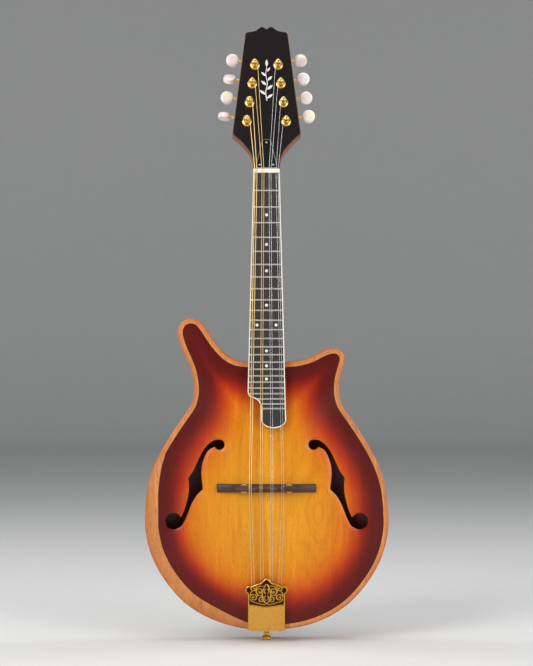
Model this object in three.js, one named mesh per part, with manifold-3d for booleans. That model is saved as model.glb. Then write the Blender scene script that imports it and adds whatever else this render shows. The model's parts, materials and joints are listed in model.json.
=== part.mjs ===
// An arch-top mandolin with f-holes, a long bass horn and a short treble horn.
//
// Millimetres. +Z runs up the neck, -Y is the front (string) side, +X is the treble side.
// The origin is the middle of the flat end face of the strap button.

import * as THREE from 'three';
import { mergeVertices } from 'three/addons/utils/BufferGeometryUtils.js';
import Module from 'manifold-3d';

const wasm = await Module();
wasm.setup();

// ---------------------------------------------------------------- driving dimensions

const GAP = 0.3; // kept between pieces that touch
const RUNNING = 0.35; // kept round anything that turns or slides
const PAST = 5; // how far a cutter runs past what it cuts

// strings
const scaleLength = 354; // nut to saddle
const saddleSetBack = 0.8; // extra speaking length at the saddle
const liftAtNut = 1.6; // string centre over the fingerboard plane
const stringHeightAtSaddle = 24.9; // string centre over the rim's front edge
const courseSpacingAtNut = 7.85;
const courseSpacingAtSaddle = 12.15;
const courseSpacingAtTail = 9.6;
const pairSpacing = 2.2; // the two strings of a course
const pairSpacingAtTail = 3.3;
const stringRadii = [0.52, 0.35, 0.25, 0.2]; // G, D, A and E courses
const windTurns = 1.5; // round the tuner post

// body
const bodyLength = 300.7; // tail edge to the neck's seat
const bodyWidth = 274; // across the lower bout
const rimDepth = 44;
const bandWidth = 5.6; // bare rim edge round the inset plates
const ledgeWidth = 7; // what the plates sit on
const edgeRound = 1.5;
const bevelWidth = 15.5; // arm bevel on the bass side of the lower bout
const bevelFall = 8; // how far the bevel drops at the outside
const topThickness = 4;
const topArch = 11.5;
const backThickness = 3.8;
const backArch = 10;
const cavityEndInset = 13.4; // solid wood between the neck's seat and the sound chamber

// blocks, bars and the strap button
const neckBlockWidth = 64;
const neckBlockLength = 45;
const tailBlockWidth = 56;
const tailBlockLength = 24;
const barWidth = 6.5;
const barHeight = 10;
const barTailReach = 91.2; // from the bridge towards the tail
const barOverBlock = 16.65; // how far a bar runs on over the neck block
const barEndShare = 0.35; // height at the ends, as a share
const barLean = 6; // how much wider apart the bars are at the tail
const strapButtonLength = 11.7;
const strapButtonRadius = 6.3;
const strapScrewRadius = 2;
const strapScrewLength = 22;

// neck and fingerboard
const jointFret = 16; // the fret over the neck's seat
const neckAngle = 4.5; // degrees back from the body
const boardHeightAtJoint = 11; // fingerboard plane over the rim's front edge
const boardThickness = 4.5;
const boardEdge = 2.025; // outermost string to the board's edge, at the nut
const boardTaper = 0.0502; // width gained per millimetre of board
const bindingWidth = 1.2;
const bassSideEndFret = 21; // where the bass side is cut away
const tongueLength = 38.5; // from the fret where the bass side is cut away to the board's end
const tongueInset = 6.2; // bass edge of the tongue, left of the centre line
const tongueRadius = 9.5; // depth of the tongue's round end
const nutLength = 5;
const neckThickness = 15.5; // wood only, at the nut
const neckThicknessGain = 0.017; // per millimetre towards the body
const heelLength = 42;
const heelShort = 3; // heel's end to the back of the rim
const heelTaper = 0.35; // share of its width that the heel loses by its end
const tenonWidth = 20;
const tenonLength = 32;
const tenonDepth = 30;
const trussRodRadius = 2.2;
const trussRodDepth = 4; // rod centre under the neck's front face
const trussNutRadius = 3;

// headstock
const headAngle = 10.5; // degrees back from the neck
const nutFoot = 1.5; // how far the nut's foot stands under the overlay's face
const headLength = 173;
const headWidth = 78;
const headTopWidth = 48.8;
const headShoulder = 41.5; // height of the widest place over the nut
const headThickness = 13;
const overlayThickness = 2;
const coverThickness = 1.6;
const coverWidth = 24;
const coverLength = 35;

// tuners, four in line on each side
const tunersPerSide = 4;
const firstPostHeight = 56.5; // over the nut
const firstPostOffset = 22.2; // from the centre line
const postSpacing = 23.1;
const rowTilt = 7.4; // degrees, each row leans in towards the top
const postRadius = 2.8;
const postReach = 14; // tip over the overlay
const postHoleEase = 0.9; // hole radius over the post's
const windHeight = 8.5; // first turn over the overlay
const wormRadius = 2.3;
const wormMesh = 0.5; // between the worm and the tips of the gear's teeth
const gearRadius = 7.1;
const gearTeeth = 16;
const gearToothHeight = 0.9;
const gearThickness = 2.6;
const tunerPlateThickness = 1;
const tunerPlateWidth = 17;
const tunerLugThickness = 1.6;
const tunerLugWidth = 6;
const tunerPlateMargin = 1.5; // plate past the first gear
const keyShaftRadius = 1.35;
const buttonCentre = 27.5; // from the row line, along the shaft
const buttonRadius = 7.5;
const buttonThickness = 7;
const bassButtonTurns = [90, 0, 40, 0]; // degrees at rest, from the nut end
const trebleButtonTurns = [0, 25, 0, 55];

// bridge
const bridgeLength = 111;
const bridgeWidth = 9.6;
const bridgeBaseHeight = 4; // at the middle
const bridgeEndHeight = 2.2;
const saddleLength = 71;
const saddleWidth = 6.4;
const adjusterTravel = 1.2; // how far the saddle can be let down
const wheelRadius = 5;
const wheelThickness = 1.8;
const studRadius = 1.5;
const studSpacing = 50;

// tailpiece
const sheet = 1.2;
const tailpieceTilt = 6.5; // degrees from the rim's front edge
const tailpieceMargin = 4.65; // outermost string to the cover's edge, at the tail
const tailpieceBaseLength = 46;
const tailpieceBaseInset = 3; // base edge inside the cover's edge
const tailFlangeDepth = 30; // leaf folded over the tail end
const coverRise = 5; // clear height under the cover
const coverSheet = 1;
const coverSide = 42.5; // straight part of the cover's sides
const coverEarRadius = 4.3;
const coverCrest = 60.4;
const pegHeight = 3.2;
const pegRadius = 0.8;
const pegFromTail = 24;
const tailScrewRadius = 1.2;
const tailScrewSpacing = 30.4;
const tailScrewLength = 11;
const tailScrewHead = 1.6;
const tailScrewDepth = 3; // axis behind the top plate's ledge

// ---------------------------------------------------------------- derived places

const rad = THREE.MathUtils.degToRad;
const fretAt = (n) => scaleLength * (1 - 2 ** (-n / 12)); // distance from the nut

const spread = (course, pair) => 3 * course + pair; // outermost string to outermost string
const boardWidthAtNut = spread(courseSpacingAtNut, pairSpacing) + 2 * boardEdge;
const tailpieceWidth = spread(courseSpacingAtTail, pairSpacingAtTail) + 2 * tailpieceMargin;
const postHoleRadius = postRadius + postHoleEase;
const wormOffset = gearRadius + wormMesh + wormRadius; // worm axis to post axis

const rimFront = -rimDepth / 2;
const rimBack = rimDepth / 2;
const bodyTail = strapButtonLength + GAP + sheet + GAP;
const neckSeat = bodyTail + bodyLength;
const halfBody = bodyWidth / 2;
const middleShare = 0.56; // of the body's length, where the plates are highest
const bodyCentre = new THREE.Vector2(0, bodyTail + middleShare * bodyLength);
const ledgeFront = rimFront + topThickness + GAP;
const ledgeBack = rimBack - backThickness - GAP;
const cavityEnd = neckSeat - cavityEndInset;
const neckBlockLow = cavityEnd - GAP - neckBlockLength;
const jointToNut = fretAt(jointFret);
const boardHalf = (z) => (boardWidthAtNut + boardTaper * (jointToNut - z)) / 2;
const seatHalf = boardHalf(0) + 1; // half width of the body's flat seat for the neck
const neckFront = boardThickness + GAP; // neck wood under the fingerboard plane
const headStart = jointToNut + nutLength + GAP;
const headDrop = boardThickness - nutFoot; // overlay face under the fingerboard plane
const headWoodFront = overlayThickness + GAP;
const headWoodBack = headWoodFront + headThickness;
const tunerPlateBack = headWoodBack + GAP + tunerPlateThickness;
const wormDepth = tunerPlateBack + GAP + wormRadius; // worm axis under the overlay face

// ---------------------------------------------------------------- groups

const mandolin = new THREE.Group();

const neckGroup = new THREE.Group(); // at the seat, on the fingerboard plane, along the neck
neckGroup.position.set(0, rimFront - boardHeightAtJoint, neckSeat);
neckGroup.rotation.x = -rad(neckAngle);
mandolin.add(neckGroup);

const headGroup = new THREE.Group(); // at the nut's back, on the overlay's face
headGroup.position.set(0, headDrop, headStart);
headGroup.rotation.x = -rad(headAngle);
neckGroup.add(headGroup);

const tailGroup = new THREE.Group(); // at the tail edge, under the tailpiece's front leaf
tailGroup.position.set(0, rimFront - GAP, bodyTail);
tailGroup.rotation.x = rad(tailpieceTilt);
mandolin.add(tailGroup);

mandolin.updateMatrixWorld(true);
const inBody = (group, x, y, z) => group.localToWorld(new THREE.Vector3(x, y, z));

const finishes = {
  rimWood: { color: 0xc9823f, roughness: 0.45, metalness: 0 },
  topWood: { color: 0xc4600f, roughness: 0.4, metalness: 0 },
  innerWood: { color: 0xcfa878, roughness: 0.8, metalness: 0 },
  neckWood: { color: 0xa8622f, roughness: 0.45, metalness: 0 },
  overlayWood: { color: 0x140604, roughness: 0.2, metalness: 0 },
  boardWood: { color: 0x373535, roughness: 0.5, metalness: 0 },
  bridgeWood: { color: 0x4a2a22, roughness: 0.45, metalness: 0 },
  ivoroid: { color: 0xf1e9d8, roughness: 0.35, metalness: 0 },
  pearloid: { color: 0xeee6e4, roughness: 0.25, metalness: 0 },
  blackPlastic: { color: 0x0b0b0c, roughness: 0.3, metalness: 0 },
  gold: { color: 0xc99c43, roughness: 0.25, metalness: 1 },
  steel: { color: 0xb9bcc0, roughness: 0.3, metalness: 1 },
  bronze: { color: 0xb9905a, roughness: 0.35, metalness: 1 },
};

function add(group, name, geometry, finish) {
  const mesh = new THREE.Mesh(geometry, new THREE.MeshStandardMaterial(finishes[finish]));
  mesh.name = name;
  group.add(mesh);
  return mesh;
}

// ---------------------------------------------------------------- solids

function signedVolume(geometry) {
  const p = geometry.attributes.position;
  const corners = geometry.index ? geometry.index.array : [...Array(p.count).keys()];
  const [a, b, c] = [new THREE.Vector3(), new THREE.Vector3(), new THREE.Vector3()];
  let sum = 0;
  for (let i = 0; i < corners.length; i += 3) {
    a.fromBufferAttribute(p, corners[i]);
    b.fromBufferAttribute(p, corners[i + 1]);
    c.fromBufferAttribute(p, corners[i + 2]);
    sum += a.dot(b.cross(c));
  }
  return sum / 6;
}

// The same body with merged corners and its faces pointing out.
function closed(geometry) {
  geometry.deleteAttribute('normal');
  geometry.deleteAttribute('uv');
  const merged = mergeVertices(geometry, 1e-4);
  if (signedVolume(merged) < 0) {
    const corners = merged.index.array;
    for (let i = 0; i < corners.length; i += 3) {
      [corners[i], corners[i + 1]] = [corners[i + 1], corners[i]];
    }
  }
  return merged;
}

function toSolid(geometry) {
  const body = closed(geometry);
  const vertProperties = new Float32Array(body.attributes.position.array);
  const triVerts = new Uint32Array(body.index.array);
  return new wasm.Manifold(new wasm.Mesh({ numProp: 3, vertProperties, triVerts }));
}

function toGeometry(solid) {
  const mesh = solid.getMesh();
  const geometry = new THREE.BufferGeometry();
  geometry.setAttribute('position', new THREE.BufferAttribute(mesh.vertProperties, 3));
  geometry.setIndex(new THREE.BufferAttribute(mesh.triVerts, 1));
  return geometry;
}

// One body: every geometry in `pieces` joined, less every geometry in `holes`.
function carve(pieces, holes = []) {
  let solid = toSolid(pieces[0]);
  for (const piece of pieces.slice(1)) solid = solid.add(toSolid(piece));
  for (const hole of holes) solid = solid.subtract(toSolid(hole));
  return toGeometry(solid);
}

// A skin through equal rings of points: capped at both ends, or closed on itself.
function loft(rings, ringsClose = false) {
  const around = rings[0].length;
  const points = rings.flat();
  const corners = [];
  const last = ringsClose ? rings.length : rings.length - 1;
  for (let r = 0; r < last; r += 1) {
    const here = r * around;
    const next = ((r + 1) % rings.length) * around;
    for (let i = 0; i < around; i += 1) {
      const j = (i + 1) % around;
      corners.push(here + i, here + j, next + j, here + i, next + j, next + i);
    }
  }
  if (!ringsClose) {
    const cap = (start, reverse) => {
      for (let i = 1; i < around - 1; i += 1) {
        corners.push(start, start + (reverse ? i + 1 : i), start + (reverse ? i : i + 1));
      }
    };
    cap(0, true);
    cap((rings.length - 1) * around, false);
  }
  const geometry = new THREE.BufferGeometry().setFromPoints(points);
  geometry.setIndex(corners);
  return closed(geometry);
}

// An outline in X and Z, made solid between two Y values.
function slab(shape, yFront, yBack, curveSegments = 8) {
  const depth = yBack - yFront;
  const geometry = new THREE.ExtrudeGeometry(shape, { depth, bevelEnabled: false, curveSegments });
  return closed(geometry.rotateX(Math.PI / 2).translate(0, yBack, 0));
}

// An outline in X and Y, made solid between two Z values.
function bar(shape, zLow, zHigh, curveSegments = 8) {
  const depth = zHigh - zLow;
  const geometry = new THREE.ExtrudeGeometry(shape, { depth, bevelEnabled: false, curveSegments });
  return closed(geometry.translate(0, 0, zLow));
}

function box(xLow, xHigh, yLow, yHigh, zLow, zHigh) {
  const geometry = new THREE.BoxGeometry(xHigh - xLow, yHigh - yLow, zHigh - zLow);
  return geometry.translate((xLow + xHigh) / 2, (yLow + yHigh) / 2, (zLow + zHigh) / 2);
}

// Rods whose length runs along Y, Z and X.
function rodY(radius, yFront, yBack, x, z, sides = 12) {
  const rod = new THREE.CylinderGeometry(radius, radius, yBack - yFront, sides);
  return rod.translate(x, (yFront + yBack) / 2, z);
}

function rodZ(radius, zLow, zHigh, x, y, sides = 12) {
  const rod = new THREE.CylinderGeometry(radius, radius, zHigh - zLow, sides);
  return rod.rotateX(Math.PI / 2).translate(x, y, (zLow + zHigh) / 2);
}

function rodX(radius, xLow, xHigh, y, z, sides = 12) {
  const rod = new THREE.CylinderGeometry(radius, radius, xHigh - xLow, sides);
  return rod.rotateZ(Math.PI / 2).translate((xLow + xHigh) / 2, y, z);
}

// [radius, height] pairs turned round the Y axis.
function turned(profile, sides) {
  return closed(new THREE.LatheGeometry(profile.map(([r, y]) => new THREE.Vector2(r, y)), sides));
}

function outline(points) {
  return new THREE.Shape(points.map(([x, y]) => new THREE.Vector2(x, y)));
}

// The points of a right-hand half outline, then the same points mirrored on the way back.
function mirrored(half) {
  const other = half.filter(([x]) => x !== 0).reverse();
  return [...half, ...other.map(([x, z]) => [-x, z])];
}

// ---------------------------------------------------------------- body outline

// [across, up] in shares of half the body's width and of its length, from the tail.
const lowerBout = [
  [0.228, 0.006], [0.456, 0.036], [0.673, 0.096], [0.845, 0.186], [0.949, 0.275], [0.997, 0.365],
  [1, 0.432], [0.979, 0.529], [0.917, 0.619], [0.812, 0.709], [0.693, 0.791], [0.618, 0.843],
  [0.595, 0.89],
];
const trebleHorn = [
  [0.6, 0.933], [0.625, 0.978], [0.642, 1.009], [0.631, 1.032], [0.594, 1.047], [0.55, 1.051],
  [0.5, 1.047], [0.443, 1.036], [0.38, 1.021], [0.312, 1.01], [0.236, 1.003],
];
const bassHorn = [
  [-0.236, 1.004], [-0.33, 1.026], [-0.393, 1.055], [-0.456, 1.094], [-0.506, 1.129],
  [-0.55, 1.152], [-0.606, 1.163], [-0.661, 1.16], [-0.704, 1.146], [-0.728, 1.119],
  [-0.722, 1.089], [-0.693, 1.049], [-0.653, 1.008], [-0.618, 0.966], [-0.599, 0.923],
];
const seat = [[seatHalf, neckSeat], [0, neckSeat], [-seatHalf, neckSeat]];

const fromShares = ([across, up]) => [across * halfBody, bodyTail + up * bodyLength];
const outlineKnots = [
  [0, bodyTail],
  ...lowerBout.map(fromShares),
  ...trebleHorn.map(fromShares),
  ...seat,
  ...bassHorn.map(fromShares),
  ...[...lowerBout].reverse().map(([across, up]) => fromShares([-across, up])),
];
const outlineCurve = new THREE.CatmullRomCurve3(
  outlineKnots.map(([x, z]) => new THREE.Vector3(x, 0, z)),
  true,
  'centripetal',
);
const longestFacet = 14; // a longer stretch between knots is halved
const samples = [];
outlineKnots.forEach(([x, z], i) => {
  const [nextX, nextZ] = outlineKnots[(i + 1) % outlineKnots.length];
  const steps = Math.hypot(nextX - x, nextZ - z) > longestFacet ? 2 : 1;
  for (let step = 0; step < steps; step += 1) {
    const t = (i + step / steps) / outlineKnots.length;
    const point = outlineCurve.getPoint(t);
    const along = outlineCurve.getTangent(t);
    const edge = new THREE.Vector2(point.x, point.z);
    const inward = new THREE.Vector2(-along.z, along.x);
    samples.push({ edge, inward });
  }
});

// How much of the arm bevel there is at a place on the edge, from 0 to 1.
const bevelTop = 0.67; // share of the body's length where the bevel starts
const bevelFull = 0.4; // share where it is at its full width
const bevelTailStart = 15;
const bevelTailRun = 60;
function bevelShare({ edge }) {
  const below = bevelTop - (edge.y - bodyTail) / bodyLength;
  const rise = THREE.MathUtils.clamp(below / (bevelTop - bevelFull), 0, 1);
  const run = THREE.MathUtils.clamp((-edge.x - bevelTailStart) / bevelTailRun, 0, 1);
  return Math.sin((Math.PI / 2) * rise) * Math.sin((Math.PI / 2) * run);
}

const insetFrom = ({ edge, inward }, distance) => edge.clone().addScaledVector(inward, distance);
const frontBand = (sample) => bandWidth + (bevelWidth - bandWidth) * bevelShare(sample);

// The sound chamber's wall on the ray from the middle of the body through a band point.
function cavityPoint(bandPoint) {
  const ray = bandPoint.clone().sub(bodyCentre);
  const reach = ray.length() - ledgeWidth;
  ray.normalize();
  const flatEnd = ray.y > 0 ? (cavityEnd - bodyCentre.y) / ray.y : Infinity;
  return bodyCentre.clone().addScaledVector(ray, Math.min(reach, flatEnd));
}

// Distance from the middle of the body to a plate's edge, in the direction of (x, z).
function reachOf(edgePoints, direction) {
  for (let i = 0; i < edgePoints.length; i += 1) {
    const a = edgePoints[i].clone().sub(bodyCentre);
    const b = edgePoints[(i + 1) % edgePoints.length].clone().sub(bodyCentre);
    const turn = a.cross(direction);
    if (turn >= 0 && direction.cross(b) > 0 && a.dot(direction) > 0) {
      return a.cross(b) / (direction.cross(b) + turn);
    }
  }
  throw new Error('no edge in that direction');
}

// The plates bulge by rings, each a share of the way from the middle to the edge. The bulge
// itself ends level with the neck's seat, so the horns stay flat.
const archRings = [1, 0.8, 0.55, 0.3, 0];
const archEnd = neckSeat - bandWidth - bodyCentre.y;
function ringRise(share, reach, direction) {
  const archReach = direction.y > 0 ? Math.min(reach, archEnd / direction.y) : reach;
  return (1 - Math.min((share * reach) / archReach, 1) ** 2) ** 1.5;
}

const topEdge = samples.map((sample) => insetFrom(sample, frontBand(sample) + GAP));
const backEdge = samples.map((sample) => insetFrom(sample, bandWidth + GAP));

// Y of the top plate's outer face over (x, z).
function topFace(x, z) {
  const direction = new THREE.Vector2(x, z).sub(bodyCentre);
  const distance = Math.max(direction.length(), GAP);
  direction.normalize();
  const reach = reachOf(topEdge, direction);
  const share = Math.min(distance / reach, 1);
  const inner = Math.max(archRings.findIndex((ring) => ring < share), 1);
  const [high, low] = [archRings[inner - 1], archRings[inner]];
  const [lowRise, highRise] = [low, high].map((ring) => ringRise(ring, reach, direction));
  const rise = THREE.MathUtils.lerp(lowRise, highRise, (share - low) / (high - low));
  return rimFront - topArch * rise;
}

// ---------------------------------------------------------------- body pieces

const at = (point, y) => new THREE.Vector3(point.x, y, point.y);

function rimSection(sample) {
  const band = frontBand(sample);
  const fall = bevelFall * bevelShare(sample);
  const edge = sample.edge;
  const eased = insetFrom(sample, edgeRound);
  const front = insetFrom(sample, band);
  const back = insetFrom(sample, bandWidth);
  const cavity = cavityPoint(front);
  return [
    at(eased, rimBack),
    at(edge, rimBack - edgeRound),
    at(edge, rimFront + fall + edgeRound),
    at(eased, rimFront + fall * (1 - edgeRound / band)),
    at(front, rimFront),
    at(front, ledgeFront),
    at(cavity, ledgeFront),
    at(cavity, ledgeBack),
    at(back, ledgeBack),
    at(back, rimBack),
  ];
}

const strapHoleRadius = strapScrewRadius + GAP;
const strapScrewTip = strapButtonLength + strapScrewLength;
const tailScrewY = ledgeFront + tailScrewDepth;
const tailScrewX = (side) => (side * tailScrewSpacing) / 2;
const tailHole = (side, zHigh) =>
  rodZ(tailScrewRadius + GAP, bodyTail - PAST, zHigh, tailScrewX(side), tailScrewY, 8);
const tenonSocket = (zLow, zHigh) => box(
  -tenonWidth / 2 - GAP, tenonWidth / 2 + GAP, -tenonDepth / 2 - GAP, tenonDepth / 2 + GAP, zLow, zHigh);

function bodyRim() {
  return carve([loft(samples.map(rimSection), true)], [
    tenonSocket(cavityEnd - PAST, neckSeat + PAST),
    rodZ(strapHoleRadius, bodyTail - PAST, strapScrewTip, 0, 0),
    tailHole(-1, bodyTail + tailScrewLength),
    tailHole(1, bodyTail + tailScrewLength),
  ]);
}

// An arched plate: its outer face bulges from `edgeY` towards `sign`.
function archedPlate(edgePoints, edgeY, sign, thickness, arch) {
  const shares = archRings.slice(0, -1);
  const ring = (share, y) => edgePoints.map((point) => {
    const direction = point.clone().sub(bodyCentre);
    const reach = direction.length();
    const rise = arch * ringRise(share, reach, direction.normalize());
    return at(bodyCentre.clone().lerp(point, share), y + sign * rise);
  });
  const middle = (y) => edgePoints.map(() => at(bodyCentre, y + sign * arch));
  const inner = edgeY - sign * thickness;
  const outerRings = shares.map((share) => ring(share, edgeY));
  const innerRings = shares.map((share) => ring(share, inner));
  return loft([middle(inner), ...innerRings.reverse(), ...outerRings, middle(edgeY)]);
}

// The treble f-hole, placed from the bridge line and from the body's edge; the bass one mirrors it.
const bridgeZ = inBody(neckGroup, 0, 0, jointToNut - scaleLength - saddleSetBack).z;
const fHoleInset = 57.5; // middle of an f-hole from the body's widest line
const fHoleCentre = halfBody - fHoleInset;
const upperEye = { x: -26.7, z: 48.3, radius: 5.9 };
const lowerEye = { x: 25.1, z: -37.8, radius: 9.5 };
const fOuter = [
  [-20.2, 53.2], [-12.8, 47.4], [-6.9, 39.2], [-2, 29.3], [3, 18.6], [8.5, 10.8], [7.5, 2.1],
  [8.3, -7.8], [11.2, -20.1], [14.1, -28.3], [18.4, -36.5],
];
const fInner = [
  [25.1, -46.5], [16.9, -44.1], [12, -36.6], [7.9, -26.8], [3.8, -16.9], [-2, -7.8],
  [-8.2, -2], [-7.8, 2.9], [-6.6, 12.8], [-6.9, 22.7], [-9.4, 32.6], [-14.3, 41.7], [-22.3, 46.4],
];

function fHole(side) {
  const place = ([x, z]) => [side * (fHoleCentre + x), bridgeZ + z];
  const [front, back] = [rimFront - topArch - PAST, ledgeFront + PAST];
  const eye = ({ x, z, radius }) => {
    const [eyeX, eyeZ] = place([x, z]);
    return rodY(radius, front, back, eyeX, eyeZ, 16);
  };
  const stem = slab(outline([...fOuter, ...fInner].map(place)), front, back);
  return carve([stem, eye(upperEye), eye(lowerEye)]);
}

function toneBar(side) {
  const stations = 8;
  const low = bridgeZ - barTailReach;
  const high = neckBlockLow + barOverBlock;
  const rings = [];
  for (let i = 0; i <= stations; i += 1) {
    const along = i / stations;
    const z = low + (high - low) * along;
    const x = side * (studSpacing / 2 + barLean * (1 - along));
    const height = barHeight * (barEndShare + (1 - barEndShare) * Math.sin(Math.PI * along));
    const top = Math.max(topFace(x - barWidth / 2, z), topFace(x + barWidth / 2, z));
    const front = top + topThickness + GAP;
    const corner = (dx, dy) => new THREE.Vector3(x + dx, front + dy, z);
    rings.push([
      corner(-barWidth / 2, 0), corner(barWidth / 2, 0),
      corner(barWidth / 2, height), corner(-barWidth / 2, height),
    ]);
  }
  return loft(rings);
}

const blockFront = ledgeFront + GAP;
const blockBack = ledgeBack - GAP;

function neckBlock() {
  const half = neckBlockWidth / 2;
  const high = cavityEnd - GAP;
  return carve([box(-half, half, blockFront, blockBack, neckBlockLow, high)], [
    tenonSocket(neckSeat - tenonLength - GAP, high + PAST),
  ]);
}

// The chamber's tail wall from the bass side to the treble side.
const tailWall = samples
  .map((sample) => cavityPoint(insetFrom(sample, frontBand(sample))))
  .filter((point) => point.y < bodyCentre.y)
  .sort((a, b) => a.x - b.x);

function tailWallAt(x) {
  const next = tailWall.findIndex((point) => point.x > x);
  const [a, b] = [tailWall[next - 1], tailWall[next]];
  return THREE.MathUtils.lerp(a.y, b.y, (x - a.x) / (b.x - a.x));
}

// The block's tail side follows the rim's curved wall.
function tailBlock() {
  const half = tailBlockWidth / 2;
  const high = tailWallAt(0) + tailBlockLength;
  const foot = tailWall
    .filter((point) => Math.abs(point.x) < half)
    .map((point) => [point.x, point.y + GAP]);
  const corners = [-half, half].map((x) => [x, tailWallAt(x) + GAP]);
  const shape = outline([corners[0], ...foot, corners[1], [half, high], [-half, high]]);
  return carve([slab(shape, blockFront, blockBack)], [
    rodZ(strapHoleRadius, bodyTail, strapScrewTip + GAP, 0, 0),
  ]);
}

function strapButton() {
  const r = strapButtonRadius;
  const high = strapButtonLength;
  const waist = strapScrewRadius + 0.8;
  const foot = r - 0.9;
  const profile = [
    [0, 0], [r - 1.8, 0], [r - 0.1, 0.9], [r, 2], [0.62 * r, 3.8], [waist, 0.53 * high],
    [waist + 0.5, 0.77 * high], [foot, high - 0.9], [foot, high], [strapScrewRadius, high],
    [strapScrewRadius, strapScrewTip - strapScrewRadius], [0, strapScrewTip],
  ];
  return turned(profile, 16).rotateX(Math.PI / 2);
}

// ---------------------------------------------------------------- neck pieces

// A D-shaped neck section at height z: flat in front, round behind.
function neckSection(z, half, thickness) {
  const points = 9;
  const ring = [new THREE.Vector3(half, neckFront, z)];
  for (let i = 1; i < points; i += 1) {
    const angle = (Math.PI * i) / points;
    const round = Math.sin(angle) ** 0.75;
    ring.push(new THREE.Vector3(half * Math.cos(angle), neckFront + thickness * round, z));
  }
  ring.push(new THREE.Vector3(-half, neckFront, z));
  return ring;
}

const neckThicknessAt = (z) => neckThickness + neckThicknessGain * (jointToNut - z);

// Height in the neck's frame of the body's seat, a gap away, at a depth under the board's plane.
const seatPlane = (y) => (GAP + y * Math.sin(rad(neckAngle))) / Math.cos(rad(neckAngle));
const intoHead = 3; // how far the shaft runs into the headstock
const intoHeel = 4; // how far the tenon and the tongue run into the heel

function neckShaft() {
  const rings = [];
  const stations = 7;
  const low = seatPlane(neckFront + neckThicknessAt(0)) + 1;
  for (let i = 0; i <= stations; i += 1) {
    const z = low + ((headStart + intoHead - low) * i) / stations;
    rings.push(neckSection(z, boardHalf(Math.min(z, jointToNut)), neckThicknessAt(z)));
  }
  return loft(rings);
}

function neckHeel() {
  const rings = [];
  const stations = 7;
  const deepest = rimDepth + boardHeightAtJoint - heelShort;
  for (let i = 0; i <= stations; i += 1) {
    const down = i / stations;
    const y = neckFront + (deepest - neckFront) * down;
    const half = boardHalf(0) * (1 - heelTaper * down ** 1.5);
    const low = seatPlane(y);
    const high = low + heelLength * (0.24 + 0.76 * (1 - down) ** 1.7);
    const corner = (across, up) => new THREE.Vector3(half * across, y, THREE.MathUtils.lerp(low, high, up));
    rings.push([
      corner(-1, 0), corner(1, 0), corner(0.97, 0.55), corner(0.55, 0.92), corner(0, 1),
      corner(-0.55, 0.92), corner(-0.97, 0.55),
    ]);
  }
  return loft(rings);
}

// Neck wood that runs on under the fingerboard, over the top plate.
function neckTongue() {
  const shy = 3; // how far the wood stays inside the board
  const reach = fretAt(bassSideEndFret) - jointToNut - shy;
  const half = boardHalf(0) - shy;
  const section = (z) => {
    const over = inBody(neckGroup, 0, neckFront, z);
    const floor = Math.min(topFace(0, over.z), topFace(half, over.z), rimFront) - 2 * GAP;
    const thick = (floor - over.y) / Math.cos(rad(neckAngle));
    return [
      new THREE.Vector3(-half, neckFront, z), new THREE.Vector3(half, neckFront, z),
      new THREE.Vector3(half, neckFront + thick, z), new THREE.Vector3(-half, neckFront + thick, z),
    ];
  };
  return loft([section(-reach), section(-reach / 2), section(intoHeel)]);
}

function neckTenon() {
  const half = tenonWidth / 2;
  const [low, high] = [neckSeat - tenonLength, neckSeat + intoHeel];
  const tenon = box(-half, half, -tenonDepth / 2, tenonDepth / 2, low, high);
  return tenon.applyMatrix4(neckGroup.matrixWorld.clone().invert());
}

function headShape() {
  const half = headWidth / 2;
  const nutHalf = boardWidthAtNut / 2;
  const topHalf = headTopWidth / 2;
  const shape = new THREE.Shape();
  const side = (sign) => {
    const go = (...points) => points.map((value, i) => (i % 2 === 0 ? sign * value : value));
    return {
      flare: go(nutHalf + 0.3, 16, 21, 27, half - 1, headShoulder - 1),
      flareBack: go(21, 27, nutHalf + 0.3, 16, nutHalf, 0),
      corner: go(half, headShoulder + 1),
      cornerBack: go(half - 1, headShoulder - 1),
      top: go(topHalf, headLength - 8.5, topHalf - 2, headLength - 6.6),
      wave: go(18, headLength - 6, 13.5, headLength - 5.6, 9.5, headLength - 2.4),
      waveBack: go(13.5, headLength - 5.6, 18, headLength - 6, topHalf - 2, headLength - 6.6),
      hump: go(5.5, headLength + 0.7, 2, headLength + 0.4, 0, headLength - 3),
      humpBack: go(2, headLength + 0.4, 5.5, headLength + 0.7, 9.5, headLength - 2.4),
    };
  };
  const right = side(1);
  const left = side(-1);
  shape.moveTo(nutHalf, 0);
  shape.bezierCurveTo(...right.flare);
  shape.lineTo(...right.corner);
  shape.lineTo(right.top[0], right.top[1]);
  shape.lineTo(right.top[2], right.top[3]);
  shape.bezierCurveTo(...right.wave);
  shape.bezierCurveTo(...right.hump);
  shape.bezierCurveTo(...left.humpBack);
  shape.bezierCurveTo(...left.waveBack);
  shape.lineTo(left.top[0], left.top[1]);
  shape.lineTo(...left.corner);
  shape.lineTo(...left.cornerBack);
  shape.bezierCurveTo(...left.flareBack);
  return shape;
}

// A post in the headstock's frame: side -1 is bass, and number 0 is nearest the nut.
function postAt(side, number) {
  const along = number * postSpacing;
  const x = side * (firstPostOffset - along * Math.sin(rad(rowTilt)));
  return { side, number, x, z: firstPostHeight + along * Math.cos(rad(rowTilt)) };
}

const eachPost = [-1, 1].flatMap((side) =>
  [...Array(tunersPerSide).keys()].map((number) => postAt(side, number)));

const postHoles = (yFront, yBack) =>
  eachPost.map(({ x, z }) => rodY(postHoleRadius, yFront, yBack, x, z, 10));

const trussPocketLength = 14;
const trussPocketHalf = trussNutRadius + 1;
const trussPocketFloor = 9.5; // under the overlay's face
const trussPocket = () =>
  box(-trussPocketHalf, trussPocketHalf, -PAST, trussPocketFloor, -1, trussPocketLength);
const rodLow = 6; // the rod's body end, over the seat

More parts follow.
